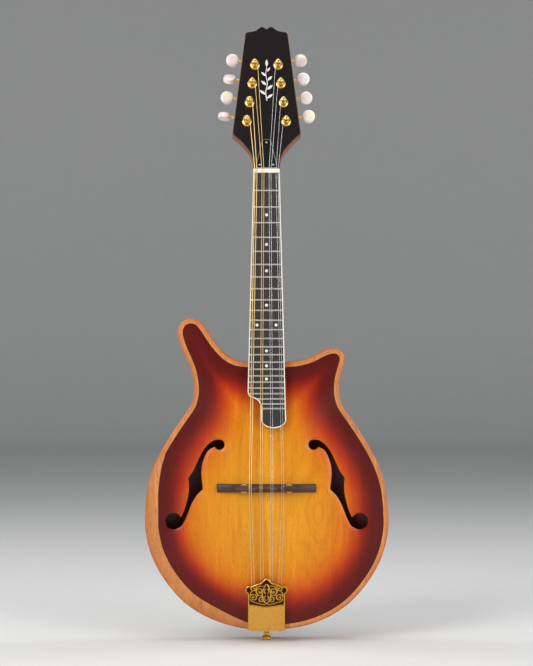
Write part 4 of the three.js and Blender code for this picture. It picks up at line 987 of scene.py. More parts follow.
def board_outline(inset):
    """The fingerboard, or a line `inset` in from its edge: from its nut end down its bass side,
    round the cut-away after the last bass fret and the tongue, and back up."""
    cut = fret_up(21)
    end = cut - 38.5
    tongue_left, tongue_right = -6.2 + inset, float(board_half(end)) - inset
    bass = [(-board_half(u) + inset, u) for u in np.linspace(0, cut + 3, 40)]
    corner = [(-board_half(cut) + inset + 0.5, cut - 0.2 + 0.3 * inset),
              (-board_half(cut) + 2.6 + 0.6 * inset, cut - 3.5 + 0.8 * inset),
              (-13.4 + 0.3 * inset, cut - 5.4 + inset),
              (-9.2 + 0.8 * inset, cut - 8.0 + 0.8 * inset),
              (-6.9 + inset, cut - 12.5 + 0.3 * inset), (tongue_left, cut - 17.5)]
    s_curve = smooth_line([bass[-1], *corner], 6)
    middle, half = (tongue_left + tongue_right) / 2, (tongue_right - tongue_left) / 2
    deep = half - 3.6
    turn = np.linspace(PI, 2 * PI, 33)
    tip = [(middle + half * math.cos(t), end + deep + (deep - inset) * math.sin(t)) for t in turn]
    treble = [(board_half(u) - inset, u) for u in np.linspace(end + deep + 1, 0, 50)]
    return np.array([*bass[:-1], *s_curve, *tip, *treble])


BINDING = 1.2


def fingerboard():
    """The rosewood board, and the binding that runs round it with its top edge eased."""
    outline = board_outline(BINDING + SNUG)
    make("rosewood_fingerboard", [block(neck, outline, -BOARD_THICK, 0, ease=0.15)], BOARD,
         stands_for=["fingerboard"])
    outer, inner = board_outline(0.0), board_outline(BINDING)
    rings = []
    for (ox, ou), (ix, iu) in zip(outer, inner):
        section = [(0, -BOARD_THICK), (0, -0.35), (0.1, -0.1), (0.35, 0), (1, 0),
                   (1, -BOARD_THICK)]
        rings.append([neck.at(ox + (ix - ox) * a, out, ou + (iu - ou) * a) for a, out in section])
    make("board_binding", [skin(rings)], IVOROID, stands_for=["fingerboard_binding"])


def fret_span(up):
    """Where the board's wood starts and stops across it at one place along it."""
    line = board_outline(BINDING)
    a, b = line[:-1], line[1:]
    cross = (a[:, 1] - up) * (b[:, 1] - up) <= 0
    a, b = a[cross], b[cross]
    rise = np.where(b[:, 1] == a[:, 1], 1, b[:, 1] - a[:, 1])
    at = a[:, 0] + (up - a[:, 1]) * (b[:, 0] - a[:, 0]) / rise
    return at.min(), at.max()


# how much of its full crown a fret has, each distance in from its end
END = [(0, 0.15), (0.25, 0.6), (0.7, 0.9), (1.3, 1.0)]


def frets():
    """Twenty-four nickel-silver wires, crowned, with their ends rounded over the binding."""
    turn = np.linspace(0, PI, 9)
    crown, rise, over = 1.0, 0.95, 0.5  # half its width, its height, and its ends past the wood
    for number in range(1, 25):
        up = fret_up(number)
        left, right = fret_span(up)
        left, right = left - over, right + over
        rings = [neck.at(x, SNUG + rise * share * np.sin(turn),
                         up + crown * (0.6 + 0.4 * share) * np.cos(turn)) for x, share in
                 [(left + x, share) for x, share in END]
                 + [(right - x, share) for x, share in END[::-1]]]
        make(f"fret_{number}", [skin(rings)], FRET)


def board_dots():
    """Shell dots let into the board, a hair proud of it, and small black ones in its bass edge."""
    r, side_r, pair = 1.7, 0.85, 10.7  # two radii, and how far out the twelfth fret's pair lies
    face_dot = [(0, -0.6), (r, -0.6), (r, 0.03), (r - 0.1, 0.06), (0, 0.06)]
    side_dot = [(0, -0.05), (side_r, -0.05), (side_r, 0.4), (0, 0.4)]
    for number in (3, 5, 7, 10, 12, 15, 17, 19):
        up = (fret_up(number) + fret_up(number - 1)) / 2
        for k, x in enumerate((-pair, pair) if number == 12 else (0.0,)):
            make(f"board_dot_{number}_{k + 1}",
                 [spin(face_dot, neck.at(x, 0.0, up), neck.out, 24)], SHELL)
    for number in (3, 5, 7, 10, 12, 15, 17):
        up = (fret_up(number) + fret_up(number - 1)) / 2
        place = neck.at(-float(board_half(up)) - 0.02, -1.7, up)
        make(f"side_dot_{number}", [spin(side_dot, place, ACROSS, 16)], BLACK)


def string_places(node):
    """Where a string crosses its tail hook, the saddle and the nut, from its frame solid."""
    seen = corners(node)
    at_saddle = seen[np.abs(seen[:, 2] - BRIDGE_UP) < 2.5].mean(axis=0)
    at_tail = seen[seen[:, 2] < seen[:, 2].min() + 1.5].mean(axis=0)
    along = neck.of(seen)
    nut_middle = (nut_seen[:, 2].min() + nut_seen[:, 2].max()) / 2
    at_nut = seen[np.abs(along[:, 2] - nut_middle) < 1.6].mean(axis=0)
    return at_tail, at_saddle, at_nut


NOTES = ("g", "d", "a", "e")
RADIUS = {"g": 0.52, "d": 0.35, "a": 0.25, "e": 0.2}  # of the strings of each pair
STRINGS = {f"{note}_string_{twin}": string_places(f"{note}_string_{twin}")
           for note in NOTES for twin in (1, 2)}


def nut():
    """The nut: rounded over to the back, with a slot filed for each string."""
    low, high = nut_seen[:, 2].min(), nut_seen[:, 2].max()
    slots = [(neck.of([p[2]])[0], RADIUS[name[0]] + 0.06) for name, p in STRINGS.items()]
    crest, deep = 1.95, high - low  # its height over the board, and its width along the neck
    rings = []
    for x in np.arange(-NUT_HALF, NUT_HALF + 0.01, 0.1):
        rise = crest - 0.12 * (x / NUT_HALF) ** 2
        for place, slot in slots:
            away = abs(x - place[0])
            if away < slot:
                rise = min(rise, place[1] - math.sqrt(slot ** 2 - away ** 2))
        rise *= min(1.0, (NUT_HALF - abs(x)) / 0.5 + 0.55)
        section = [(low, -BOARD_THICK), (low, rise - 0.2), (low + 0.15, rise)]
        section += [(low + deep * t, rise - 0.75 * t ** 2.2) for t in np.linspace(0.3, 0.9, 5)]
        section += [(high, rise - 1.1), (high, -BOARD_THICK)]
        rings.append([neck.at(x, out, up) for up, out in section])
    make("slotted_bone_nut", [skin(rings)], BONE, stands_for=["nut"], weigh=False, crease=45)


# the headstock's outline on the treble side, from the nut to the notch at its top
HEAD_HALF = float(corners("headstock_overlay")[:, 0].max())
HEAD_SIDE = [(15.2, 0.0), (15.5, 9.0), (18.6, 18.7), (23.7, 26.1), (30.5, 34.0),
             (HEAD_HALF - 0.7, 41.0)]
HEAD_TOP = [(22.4, 166.3), (17.4, 167.0), (12.6, 168.3), (9.0, 171.0), (6.2, 172.9), (3.8, 172.7),
            (1.6, 171.3), (0.0, 170.0)]


def head_outline():
    """The headstock's outline, from its treble side round to its bass side."""
    side = smooth_line(HEAD_SIDE, 8)
    up_side = [(HEAD_HALF, 42.2), (24.4, 164.6)]
    corner = rounded([up_side[0], up_side[1], HEAD_TOP[0]], [0, 1.6, 0], closed=False)[1:-1]
    top = smooth_line(HEAD_TOP, 6)
    half = np.vstack([side, [up_side[0]], corner, top])
    return even_line(mirrored(half), 1.2, closed=True)


def drawn(name):
    """A joint's axis line as its place and direction."""
    found = joint(name)
    return np.array(found["pos_m"]) / MM, np.array(found["axis"])


POSTS = [(f"{side}_{n}", *head.of([drawn(f"post_{side}_{n}_turn")[0]])[0][[0, 2]])
         for side in ("bass", "treble") for n in (1, 2, 3, 4)]
POST_HOLES = [circle((x, up), 3.7, 28) for _, x, up in POSTS]


def head_slab(loop, levels):
    """A slab of the headstock's outline, bored for the posts. `levels` goes down its edge from
    the front face to the back one, as (how far in from the loop, how far out)."""
    lines = [loop + normals(loop) * inset for inset, _ in levels]
    front, rear = levels[0][1], levels[-1][1]
    rings = [head.at(line[:, 0], out, line[:, 1]) for line, (_, out) in zip(lines, levels)]
    parts = []
    for line, out in ((lines[0], front), (lines[-1], rear)):
        flat, faces = sheet_points(line, POST_HOLES, 6.0)
        parts.append((head.at(flat[:, 0], out, flat[:, 1]), faces))
    parts.append(skin(rings, "open"))
    for hole in POST_HOLES:
        parts.append(skin([head.at(hole[:, 0], out, hole[:, 1]) for out in (front, rear)], "open"))
    return parts


def headstock_overlay():
    """The veneer on the headstock's face, a little inside its outline, with its edge eased."""
    loop = head_outline()
    loop = loop + normals(loop) * 0.55
    slab = head_slab(loop, [(0.3, 0.0), (0.09, -0.09), (0.0, -0.3), (0.0, -OVERLAY)])
    make("gloss_headstock_veneer", slab, VENEER, stands_for=["headstock_overlay"], crease=30)


HALF_TURN = np.linspace(0, PI, 25)
UNDER_BOARD = -BOARD_THICK - SNUG
SHAFT_THICK = 15.5  # of the wood under the board, at the nut
SHAFT_SWELL = 0.017  # what it gains for each mm towards the body
HEEL_LONG, HEEL_DEEP = 44.0, 50.0
SHAFT_END = 6.0  # the shaft's even part stops this far short of the nut


def neck_shaft():
    """Sections from the heel's seat up to where the shaft's back runs out into the headstock."""
    rings = []
    stations = np.r_[np.linspace(0, HEEL_LONG, 16),
                     np.linspace(HEEL_LONG + 12, -joint_up - SHAFT_END, 12)]
    for up in stations:
        heel = max(0.0, 1 - up / HEEL_LONG)  # 1 at the seat, 0 where the shaft starts
        place = joint_up + up
        thick = SHAFT_THICK + SHAFT_SWELL * (-place)
        deep = thick + (HEEL_DEEP - thick) * heel ** 2.2
        square = 2.15 + 0.5 * heel
        half = float(board_half(place)) - 0.05
        x = half * np.sign(np.cos(HALF_TURN)) * np.abs(np.cos(HALF_TURN)) ** (2 / square)
        down = np.abs(np.sin(HALF_TURN)) ** (2 / square)
        out = UNDER_BOARD - deep * down
        # the seat stands square to the body, so the heel's end leans with it
        lean = math.tan(NECK_TILT) * heel ** 3
        rings.append(neck.at(x * (1 - 0.33 * heel ** 1.5 * down ** 2), out,
                             place + 0.35 + lean * -out))
    for past, thin, narrow in ((4, 0.985, 1.0), (10, 0.93, 0.97), (16, 0.84, 0.88),
                               (22, 0.72, 0.7), (27, 0.6, 0.42), (30, 0.5, 0.12)):
        thick = (SHAFT_THICK + 0.6) * thin
        out = UNDER_BOARD - 0.2 * past - thick * np.abs(np.sin(HALF_TURN)) ** 0.93
        rings.append(neck.at(NUT_HALF * narrow * np.cos(HALF_TURN), out, past - SHAFT_END + 0.35))
    return skin(rings)


def board_tongue():
    """The wood under the end of the board, down to just over the arched top."""
    rings = []
    for up in np.linspace(float(fret_up(21)) + 3, joint_up + 3, 14):
        world = neck.at(0.0, -BOARD_THICK, up)
        room = -world[1] - float(top_out(0.0, world[2])[0]) - 0.35
        deep = max(room / math.cos(NECK_TILT), 0.4)
        half = float(board_half(up)) - 3.0
        rings.append(neck.at([-half, half, half, -half],
                             [UNDER_BOARD] * 2 + [-BOARD_THICK - deep] * 2, up))
    return skin(rings)


def neck_wood():
    """Neck, heel and headstock in one piece of mahogany, with its tenon and truss pocket."""
    front, rear = -OVERLAY - SNUG, -OVERLAY - HEAD_THICK
    slab = head_slab(head_outline(), [(0.15, front), (0.0, front - 0.15), (0.0, rear + 0.8),
                                      (0.24, rear + 0.24), (0.8, rear)])
    tenon = skin([[(x, y, z) for x, y in ((-10, -15), (10, -15), (10, 15), (-10, 15))]
                  for z in (low_high("neck_block")[1][2] - 20, NECK_SEAT + 4)])
    pieces = [make(f"neck_part_{i}", part, NECK, weigh=False) for i, part in enumerate(
        ([neck_shaft()], [board_tongue()], [tenon], slab))]
    pocket = make("truss_pocket", [skin([head.at([-4, 4, 4, -4], out, [-1, -1, 14, 14])
                                         for out in (5.0, -9.5)])], NECK, weigh=False)
    carve(pieces[0], pieces[1:], "UNION")
    carve(pieces[0], [pocket])
    make("neck_heel_and_headstock", carved_parts(pieces[0]), NECK, stands_for=["neck"], crease=32)


def truss_cover():
    """The bell-shaped cover over the truss rod nut, its white under-layer, and three screws."""
    half = [(12.0, 0.6), (11.6, 4.0), (10.2, 11.0), (8.9, 16.0), (8.1, 20.0), (7.0, 26.0),
            (5.9, 30.5), (4.4, 33.4), (2.4, 34.8), (0.0, 35.2)]
    loop = mirrored(np.vstack([[half[0]], smooth_line(half[1:], 5)]))
    small = loop + normals(loop) * 0.45
    make("cover_white_ply", [block(head, loop, 0.06, 0.8, ease=0.1)], PLY)
    make("bell_truss_cover", [block(head, small, 0.8, 2.0, ease=0.45, steps=4)], BLACK,
         stands_for=["truss_rod_cover"])
    for k, (x, up) in enumerate(((0.0, 30.8), (-7.6, 4.2), (7.6, 4.2))):
        wood_screw(f"truss_cover_screw_{k + 1}", head.at(x, 2.0, up), head.out, 1.15, 7.0, STEEL)


def wood_screw(name, place, out, radius, length, finish, rides="root"):
    """A domed cross-slot wood screw whose head sits on `place` and whose shank runs in."""
    dome = [(radius * math.cos(t), 0.05 + 0.5 * radius * math.sin(t))
            for t in np.linspace(0, PI / 2, 7)]
    dome[-1] = (0, dome[-1][1])
    head_part = spin([(0, 0.02), (radius, 0.02), *dome], place, out, 24)
    shank = spin([(0, -length), (0.3 * radius, -length + 0.6), (0.42 * radius, -0.6),
                  (0.5 * radius, 0.02), (0, 0.02)], place, out, 12)
    axis = np.array(out, float) / np.linalg.norm(out)
    side = np.cross(axis, (0.6, 0.2, 0.7))
    side /= np.linalg.norm(side)
    other = np.cross(axis, side)
    top = np.array(place) + axis * (0.05 + 0.5 * radius)
    slots = []
    for a, b in ((side, other), (other, side)):
        long, wide, deep = 0.62 * radius, 0.13 * radius, 0.3 * radius
        ring = [a * long + b * wide, -a * long + b * wide, -a * long - b * wide,
                a * long - b * wide]
        slots.append(skin([[top + r + axis * 0.2 for r in ring],
                           [top + r - axis * deep for r in ring]]))
    blank = make(f"{name}_blank", [head_part], finish, rides=rides, crease=50, weigh=False)
    carve(blank, [make(f"{name}_slot_{i}", [s], finish, weigh=False) for i, s in enumerate(slots)])
    return make(name, [*carved_parts(blank), shank], finish, rides=rides, crease=40, weigh=False)


def leaf(centre, turn, length, width):
    """A leaf's outline, pointed at both ends."""
    t = np.linspace(0, 1, 13)
    bulge = width / 2 * np.sin(PI * t) ** 0.8 * (1 - 0.25 * t)
    line = np.vstack([np.stack([bulge, t * length], axis=1),
                      np.stack([-bulge[::-1][1:-1], t[::-1][1:-1] * length], axis=1)])
    c, s = math.cos(turn), math.sin(turn)
    return line @ np.array([[c, s], [-s, c]]) + centre


def head_sprig():
    """A plain sprig of leaves in shell, let into the headstock."""
    stem = smooth_line([(0.6, 82), (-0.9, 92), (0.9, 103), (-0.7, 114), (0.2, 124)], 8)
    wide = np.linspace(0.55, 0.3, len(stem))
    side = normals(stem)
    side[0], side[-1] = side[1], side[-2]
    line = np.vstack([stem + side * wide[:, None], (stem - side * wide[:, None])[::-1]])
    # each leaf's foot, its turn from straight up, its length and its width
    leaves = [((0.3, 84.5), -0.9, 8.0, 3.4), ((-0.6, 89.0), 0.9, 8.5, 3.6),
              ((0.2, 95.0), -0.85, 8.5, 3.6), ((0.3, 100.5), 0.85, 8.0, 3.4),
              ((0.6, 106.0), -0.8, 7.5, 3.2), ((-0.4, 111.5), 0.8, 7.0, 3.0),
              ((-0.2, 117.0), -0.7, 6.2, 2.7), ((0.2, 123.0), 0.0, 8.5, 3.4)]
    for k, (centre, turn, length, width) in enumerate(leaves):
        shift = np.array([-math.sin(turn), math.cos(turn)]) * 0.7
        outline = leaf(np.array(centre) + shift, turn, length, width)
        make(f"sprig_leaf_{k + 1}", [block(head, outline, -0.5, 0.08, ease=0.04, steps=1)], SHELL)
    make("sprig_stem", [block(head, line, -0.5, 0.07, ease=0.04, steps=1)], SHELL)


fingerboard()
frets()
board_dots()
nut()
neck_wood()
headstock_overlay()
truss_cover()
head_sprig()
for node in ("truss_rod", "truss_rod_nut"):
    frame["nodes"][node].data.materials[0] = STEEL

# ---------------------------------------------------------------- tuners

# stand-offs from the headstock's face, which are negative behind it
PLATE_FRONT, PLATE_BACK = -15.6, -16.6
LUG_TOP = -22.15
WORM_OUT = -19.2
GEAR_FRONT, GEAR_BACK = -17.9, -20.5
# radii
GEAR_TIP, GEAR_ROOT = 7.7, 6.7  # the pitch circle, at 7.2, lies between them
TEETH = 16
WORM_CREST, WORM_ROOT = 2.45, 1.75
WORM_PITCH = 2 * PI * 7.2 / TEETH  # one tooth of the gear for one turn
SHAFT = 1.35
POST_RADIUS = 2.75
POST_TIP = 14.0  # how far it stands off the face


def in_head(vector):
    """A direction given across, out of and up the headstock, in the body's axes."""
    return vector[0] * ACROSS + vector[1] * head.out + vector[2] * head.up


def post(name, x, up, worm_way):
    """A post turned with its gear, and the screw that holds the gear on."""
    tip = [(POST_RADIUS * math.cos(t), POST_TIP - 1.3 + 1.3 * math.sin(t))
           for t in np.linspace(0, PI / 2, 7)]
    tip[-1] = (0, POST_TIP)
    profile = [(0, GEAR_FRONT + 0.1), (POST_RADIUS, GEAR_FRONT + 0.1), (POST_RADIUS, 5.0),
               (POST_RADIUS, POST_TIP - 4.6), *tip]
    shaft = spin(profile, head.at(x, 0.0, up), head.out, 28)
    first_gap = math.atan2(worm_way[2], worm_way[0])
    tooth = ((0.0, GEAR_ROOT), (0.14, GEAR_ROOT), (0.3, GEAR_TIP - 0.25), (0.38, GEAR_TIP),
             (0.62, GEAR_TIP), (0.7, GEAR_TIP - 0.25), (0.86, GEAR_ROOT))
    rim = []
    for i in range(TEETH):
        for share, radius in tooth:
            turn = first_gap + (i + share) * 2 * PI / TEETH
            rim.append((x + radius * math.cos(turn), up + radius * math.sin(turn)))
    gear = block(head, rim, GEAR_BACK, GEAR_FRONT, ease=0.18, steps=2)
    make(f"{name}_post", [shaft, gear], GOLD, rides=name, stands_for=[f"string_{name}"],
         crease=32)
    wood_screw(f"{name}_gear_screw", head.at(x, GEAR_BACK, up), -head.out, 2.9, 3.0, GOLD,
               rides=name)


def ferrule(name, x, up):
    """The bush pressed into the headstock round a post, with its domed washer."""
    profile = [(POST_RADIUS + 0.1, -9.0), (3.6, -9.0), (3.6, 0.05), (5.7, 0.05), (5.7, 0.5),
               (5.45, 0.95), (4.9, 1.35), (4.1, 1.65), (3.3, 1.75), (POST_RADIUS + 0.25, 1.65),
               (POST_RADIUS + 0.1, 1.5)]
    make(f"{name}_ferrule", [spin(profile, head.at(x, 0.0, up), head.out, 40)], GOLD)


def worm(name, key, place, axis, towards_gear, button_start):
    """A right-handed worm cut on its shaft; the thread's crest meets the gear's nearest gap."""
    side = np.cross(axis, towards_gear)
    rings = []
    half = 6.2  # of the threaded length
    stations = [(-9.0, 1.1), (-8.8, SHAFT), (-half - 0.1, SHAFT)]
    stations += [(along, None) for along in np.linspace(-half, half, 75)]
    stations += [(half + 0.1, SHAFT), (button_start + 6.0, SHAFT)]
    for along, radius in stations:
        ring = []
        for turn in np.arange(24) * 2 * PI / 24:
            r = radius
            if r is None:
                phase = (along / WORM_PITCH - turn / (2 * PI)) % 1.0
                crest = 0.5 + 0.5 * math.cos(2 * PI * phase)
                fade = min(1.0, (half - abs(along)) / 0.8)
                r = WORM_ROOT + (WORM_CREST - WORM_ROOT) * min(1.0, 1.35 * crest) * fade
            ring.append(place + axis * along
                        + r * (math.cos(turn) * towards_gear + math.sin(turn) * side))
        rings.append(ring)
    make(f"{name}_worm", [skin(rings)], GOLD, rides=key, stands_for=[f"worm_shaft_{name}"],
         crease=45)


def button(name, key, place, axis):
    """A round pearloid button, thick at its foot and turned the way its frame solid is.
    Returns where it starts along the shaft."""
    node = f"tuner_button_{name}"
    seen = corners(node) - place
    along = seen @ axis
    spread = seen - along[:, None] * axis
    _, _, ways = np.linalg.svd(spread - spread.mean(axis=0))
    wide_way = ways[0] - (ways[0] @ axis) * axis
    wide_way /= np.linalg.norm(wide_way)
    thin_way = np.cross(axis, wide_way)
    radius = np.abs(spread @ wide_way).max()
    half = np.abs(spread @ thin_way).max()
    centre = along.max() - radius
    foot, tip, square = 2.0, 0.3, 5.0  # least half thickness at either end, and how square it is
    turn = np.arange(40) * 2 * PI / 40
    rings = []
    for t in np.linspace(0.27, PI - 0.05, 30):
        away = -math.cos(t)  # from the shaft's side, -1, to the outer side, 1
        thick = (half - 0.048 * radius * max(away, 0)) * (1 - abs(away) ** 9) ** 0.5
        thick = max(thick, foot if away < 0 else tip)
        w = radius * math.sin(t) * np.sign(np.cos(turn)) * np.abs(np.cos(turn)) ** (2 / square)
        n = thick * np.sign(np.sin(turn)) * np.abs(np.sin(turn)) ** (2 / square)
        rings.append(place + axis * (centre + radius * away) + w[:, None] * wide_way
                     + n[:, None] * thin_way)
    make(f"{name}_button", [skin(rings)], BUTTON, rides=key, stands_for=[node], crease=50)
    return along.min()


def lug(place, axis, low, high):
    """A bearing for the shaft, bent up from the plate, with its bore."""
    outward = -head.out
    side = np.cross(axis, outward)
    half, top = 3.0, abs(LUG_TOP - WORM_OUT)
    foot = abs(WORM_OUT - PLATE_BACK)
    outline = rounded([(-half, -foot), (-half, top), (half, top), (half, -foot)],
                      [0, 2.2, 2.2, 0], steps=6)
    flat, faces = sheet_points(outline, [circle((0, 0), SHAFT + 0.12, 20)], 1.5)
    spread = flat[:, :1] * side + flat[:, 1:] * outward
    return thick_sheet(flat, faces, place + spread + axis * high, place + spread + axis * low)


def bearing_plate(side, places):
    """One long plate behind a row of four posts, with a pair of lugs at every worm."""
    hand = 1 if side == "treble" else -1
    row = np.array(places)
    way = (row[-1] - row[0]) / np.linalg.norm(row[-1] - row[0])
    across = np.array([way[1], -way[0]]) * hand
    half, low_end, high_end = 8.45, 8.9, 17.6  # half its width, and its ends past the outer posts
    screw_line, row_shift = 5.6, 1.5  # screws stand off the row, and off the middle of each gap
    ends = (row[0] - way * low_end, row[-1] + way * high_end)
    outline = rounded([ends[0] - across * half, ends[0] + across * half, ends[1] + across * half,
                       ends[1] - across * half], 3.0, steps=8)
    holes = [circle(p, POST_RADIUS + 0.2, 28) for p in row]
    flat, faces = sheet_points(outline, holes, 4.0)
    parts = [thick_sheet(flat, faces, head.at(flat[:, 0], PLATE_FRONT, flat[:, 1]),
                         head.at(flat[:, 0], PLATE_BACK, flat[:, 1]))]
    for number in (1, 2, 3, 4):
        place, axis = drawn(f"key_{side}_{number}_turn")
        for low, high in ((-8.1, -6.5), (6.5, 8.1)):
            parts.append(lug(place, axis, low, high))
    make(f"{side}_bearing_plate", parts, GOLD, stands_for=[f"{side}_tuner_plate"], crease=30)
    screws = [ends[0] + way * 2.6 - across * screw_line, ends[1] - way * 2.5]
    screws += [(row[i] + row[i + 1]) / 2 - across * screw_line + way * row_shift
               for i in range(3)]
    for k, (x, up) in enumerate(screws):
        wood_screw(f"{side}_plate_screw_{k + 1}", head.at(x, PLATE_BACK, up), -head.out, 1.7, 8.0,
                   GOLD)


for side in ("bass", "treble"):
    places = []
    for number in (1, 2, 3, 4):
        name = f"{side}_{number}"
        key = f"key_{name}"
        x, _, up = head.of([drawn(f"post_{name}_turn")[0]])[0]
        places.append((x, up))
        place, axis = drawn(f"key_{name}_turn")
        worm_x, _, worm_up = head.of([place])[0]
        away = np.array([worm_x - x, 0, worm_up - up])
        towards_worm = away / np.linalg.norm(away)
        post(f"post_{name}", x, up, towards_worm)
        ferrule(name, x, up)
        began = button(name, key, place, axis)
        worm(name, key, place, axis, in_head(-towards_worm), began)
    bearing_plate(side, places)

# ---------------------------------------------------------------- bridge and tailpiece

saddle_low, saddle_high = low_high("bridge_saddle")
wheel_low, wheel_high = low_high("bass_thumbwheel")
stud_low, stud_high = low_high("bass_bridge_stud")
STUD_X = (stud_low[0] + stud_high[0]) / 2
STUD_BORE = 1.62  # clear of the thread, in the saddle and the wheels
TIGHT_BORE = 1.55  # in the base, which the studs are set into


def bored(rings, radius, low, high):
    """Bridge wood with its two stud holes, between two stand-offs, as a piece's parts."""
    blank = make("bridge_blank", [skin(rings)], BRIDGE, weigh=False)
    hole = [(0, low), (radius, low), (radius, high), (0, high)]
    carve(blank, [make("drill", [spin(hole, body.at(x, 0.0, BRIDGE_UP), body.out, 32)], BRIDGE,
                       weigh=False) for x in (STUD_X, -STUD_X)])
    return carved_parts(blank)


def bridge_base():
    """The foot of the bridge, carved to the arch, and sloped off past the saddle."""
    half, wide = bridge_high[0], (bridge_high[2] - bridge_low[2]) / 2
    full, end_drop = -bridge_low[1], 3.6
    rings = []
    for x in np.r_[np.linspace(-half, -half + 4, 10), np.linspace(-half + 5, half - 5, 75),
                   np.linspace(half - 4, half, 10)]:
        room = half - abs(x)
        z_half = wide - 0.5 * max(1 - room / 0.6, 0) ** 2
        past = np.clip((abs(x) - saddle_high[0]) / (half - saddle_high[0]), 0, 1)
        top = full - end_drop * past ** 1.3 - 0.5 * max(0, 1 - room) ** 2
        under = [(z, float(top_out(x, BRIDGE_UP + z)[0]) + SNUG)
                 for z in np.array([-1, -0.5, 0, 0.5, 1]) * z_half]
        shoulder = [(1.0, -2.6), (0.93, -1.2), (0.8, -0.25), (0.7, 0.0)]
        over = [(side * share * z_half, top + drop) for side, line in
                ((1, shoulder), (-1, shoulder[::-1])) for share, drop in line]
        rings.append([body.at(x, out, BRIDGE_UP + z) for z, out in under + over])
    make("fitted_bridge_base", bored(rings, TIGHT_BORE, -stud_high[1] - 0.1, full + 3), BRIDGE,
         stands_for=["bridge_base"], weigh=False, crease=35)


# where the saddle's crest lies under each pair, towards the tail (-) or the nut (+)
COMPENSATION = {"g": -1.5, "d": 0.3, "a": -1.1, "e": 1.1}
CREST = 46.72
SADDLE_SHOULDER = 44.6
SADDLE_ROUND = 3.2  # radius of its ends
CREST_FALL, CREST_FLAT = 1.9, 24.0  # the crest falls off past this far from the middle


def bridge_saddle():
    """The saddle: a low wall with a notched crest, and a slot filed for every string."""
    half, wide = saddle_high[0], (saddle_high[2] - saddle_low[2]) / 2
    low, shoulder = -saddle_high[1], SADDLE_SHOULDER
    slots = [(p[1], RADIUS[name[0]] + 0.05) for name, p in STRINGS.items()]
    middles = {note: np.mean([STRINGS[f"{note}_string_{k}"][1][0] for k in (1, 2)])
               for note in NOTES}
    order = sorted(NOTES, key=middles.get)
    breaks = [(middles[a] + middles[b]) / 2 for a, b in zip(order, order[1:])]
    rings = []
    stations = np.r_[np.linspace(-half, -half + SADDLE_ROUND, 12),
                     np.arange(-half + 3.4, half - 3.3, 0.2),
                     np.linspace(half - SADDLE_ROUND, half, 12)]
    for x in np.unique(np.round(stations, 4)):
        room = half - abs(x)
        z_half = wide * math.sqrt(max(1 - max(1 - room / SADDLE_ROUND, 0) ** 2, 0.03))
        shift = COMPENSATION[order[int(np.searchsorted(breaks, x))]]
        for a, b, at in zip(order, order[1:], breaks):
            share = np.clip((x - at) / 0.8 + 0.5, 0, 1)
            if 0 < share < 1:
                shift = COMPENSATION[a] + (COMPENSATION[b] - COMPENSATION[a]) * share
        past = np.clip((abs(x) - CREST_FLAT) / (half - CREST_FLAT), 0, 1)
        top = CREST - CREST_FALL * past ** 2
        for place, slot in slots:
            away = abs(x - place[0])
            if away < slot:
                top = min(top, -place[1] - math.sqrt(slot ** 2 - away ** 2))
        shift *= min(1.0, room / 4.0)
        crest_half = min(0.55, 0.3 * z_half)
        section = [(-z_half, low), (-z_half, shoulder - 1.2), (-0.92 * z_half, shoulder - 0.5),
                   (shift - crest_half - 0.25, top - 0.25), (shift - crest_half, top),
                   (shift + crest_half, top), (shift + crest_half + 0.25, top - 0.25),
                   (0.92 * z_half, shoulder - 0.5), (z_half, shoulder - 1.2), (z_half, low)]
        rings.append([body.at(x, out, BRIDGE_UP + z) for z, out in section])
    make("notched_saddle", bored(rings, STUD_BORE, low - 1, low + 3.2), BRIDGE,
         rides="bridge_saddle", stands_for=["bridge_saddle"], weigh=False, crease=35)


def thumbwheel(side, x):
    """A wheel with a knurled rim and a bored middle, and the threaded stud that it turns on."""
    low, high = -wheel_high[1], -wheel_low[1]
    turn = np.arange(120) * 2 * PI / 120
    knurl = 4.86 + 0.14 * np.cos(40 * turn)  # 40 ridges, 0.76 mm apart
    bore = np.full(120, STUD_BORE)
    place = body.at(x, 0.0, BRIDGE_UP)
    rings = []
    for radius, out in ((bore, low), (knurl - 0.35, low), (knurl, low + 0.3), (knurl, high - 0.3),
                        (knurl - 0.35, high), (bore + 0.25, high), (bore, high - 0.2)):
        rings.append(place + radius[:, None] * (np.cos(turn)[:, None] * ACROSS
                                               + np.sin(turn)[:, None] * body.up) + out * body.out)
    name = f"{side}_thumbwheel"
    make(f"{name}_knurled", [skin(rings, "joined")], GOLD, rides=name, stands_for=[name], crease=30)
    low, high = -stud_high[1], -stud_low[1]
    crest, root, pitch = 1.47, 1.25, 0.7
    thread = [(crest if i % 2 else root, out) for i, out in
              enumerate(np.arange(low + 0.2, high - 0.3, pitch / 2))]
    profile = [(0, low), (root, low), *thread, (1.1, high), (0, high)]
    make(f"{side}_threaded_stud", [spin(profile, place, body.out, 24)], GOLD,
         stands_for=[f"{side}_bridge_stud"], crease=50)


# the cover, measured up from its lower end
COVER_SIDE, COVER_CREST, COVER_HALF = 41.5, 59.4, 20.7
EAR = 4.3  # radius of its ears
SHEET = 1.0
EDGE_ROLL = 0.9  # radius of its rolled edge
SWAG_FOOT, SWAG_RISE, SWAG_HALF = 26.0, 2.4, 20.0  # the line where the stamping starts


def swag(x):
    """How far up the cover its stamping starts, at one place across it."""
    return SWAG_FOOT + SWAG_RISE * (1 - np.cos(PI * x / SWAG_HALF)) / 2


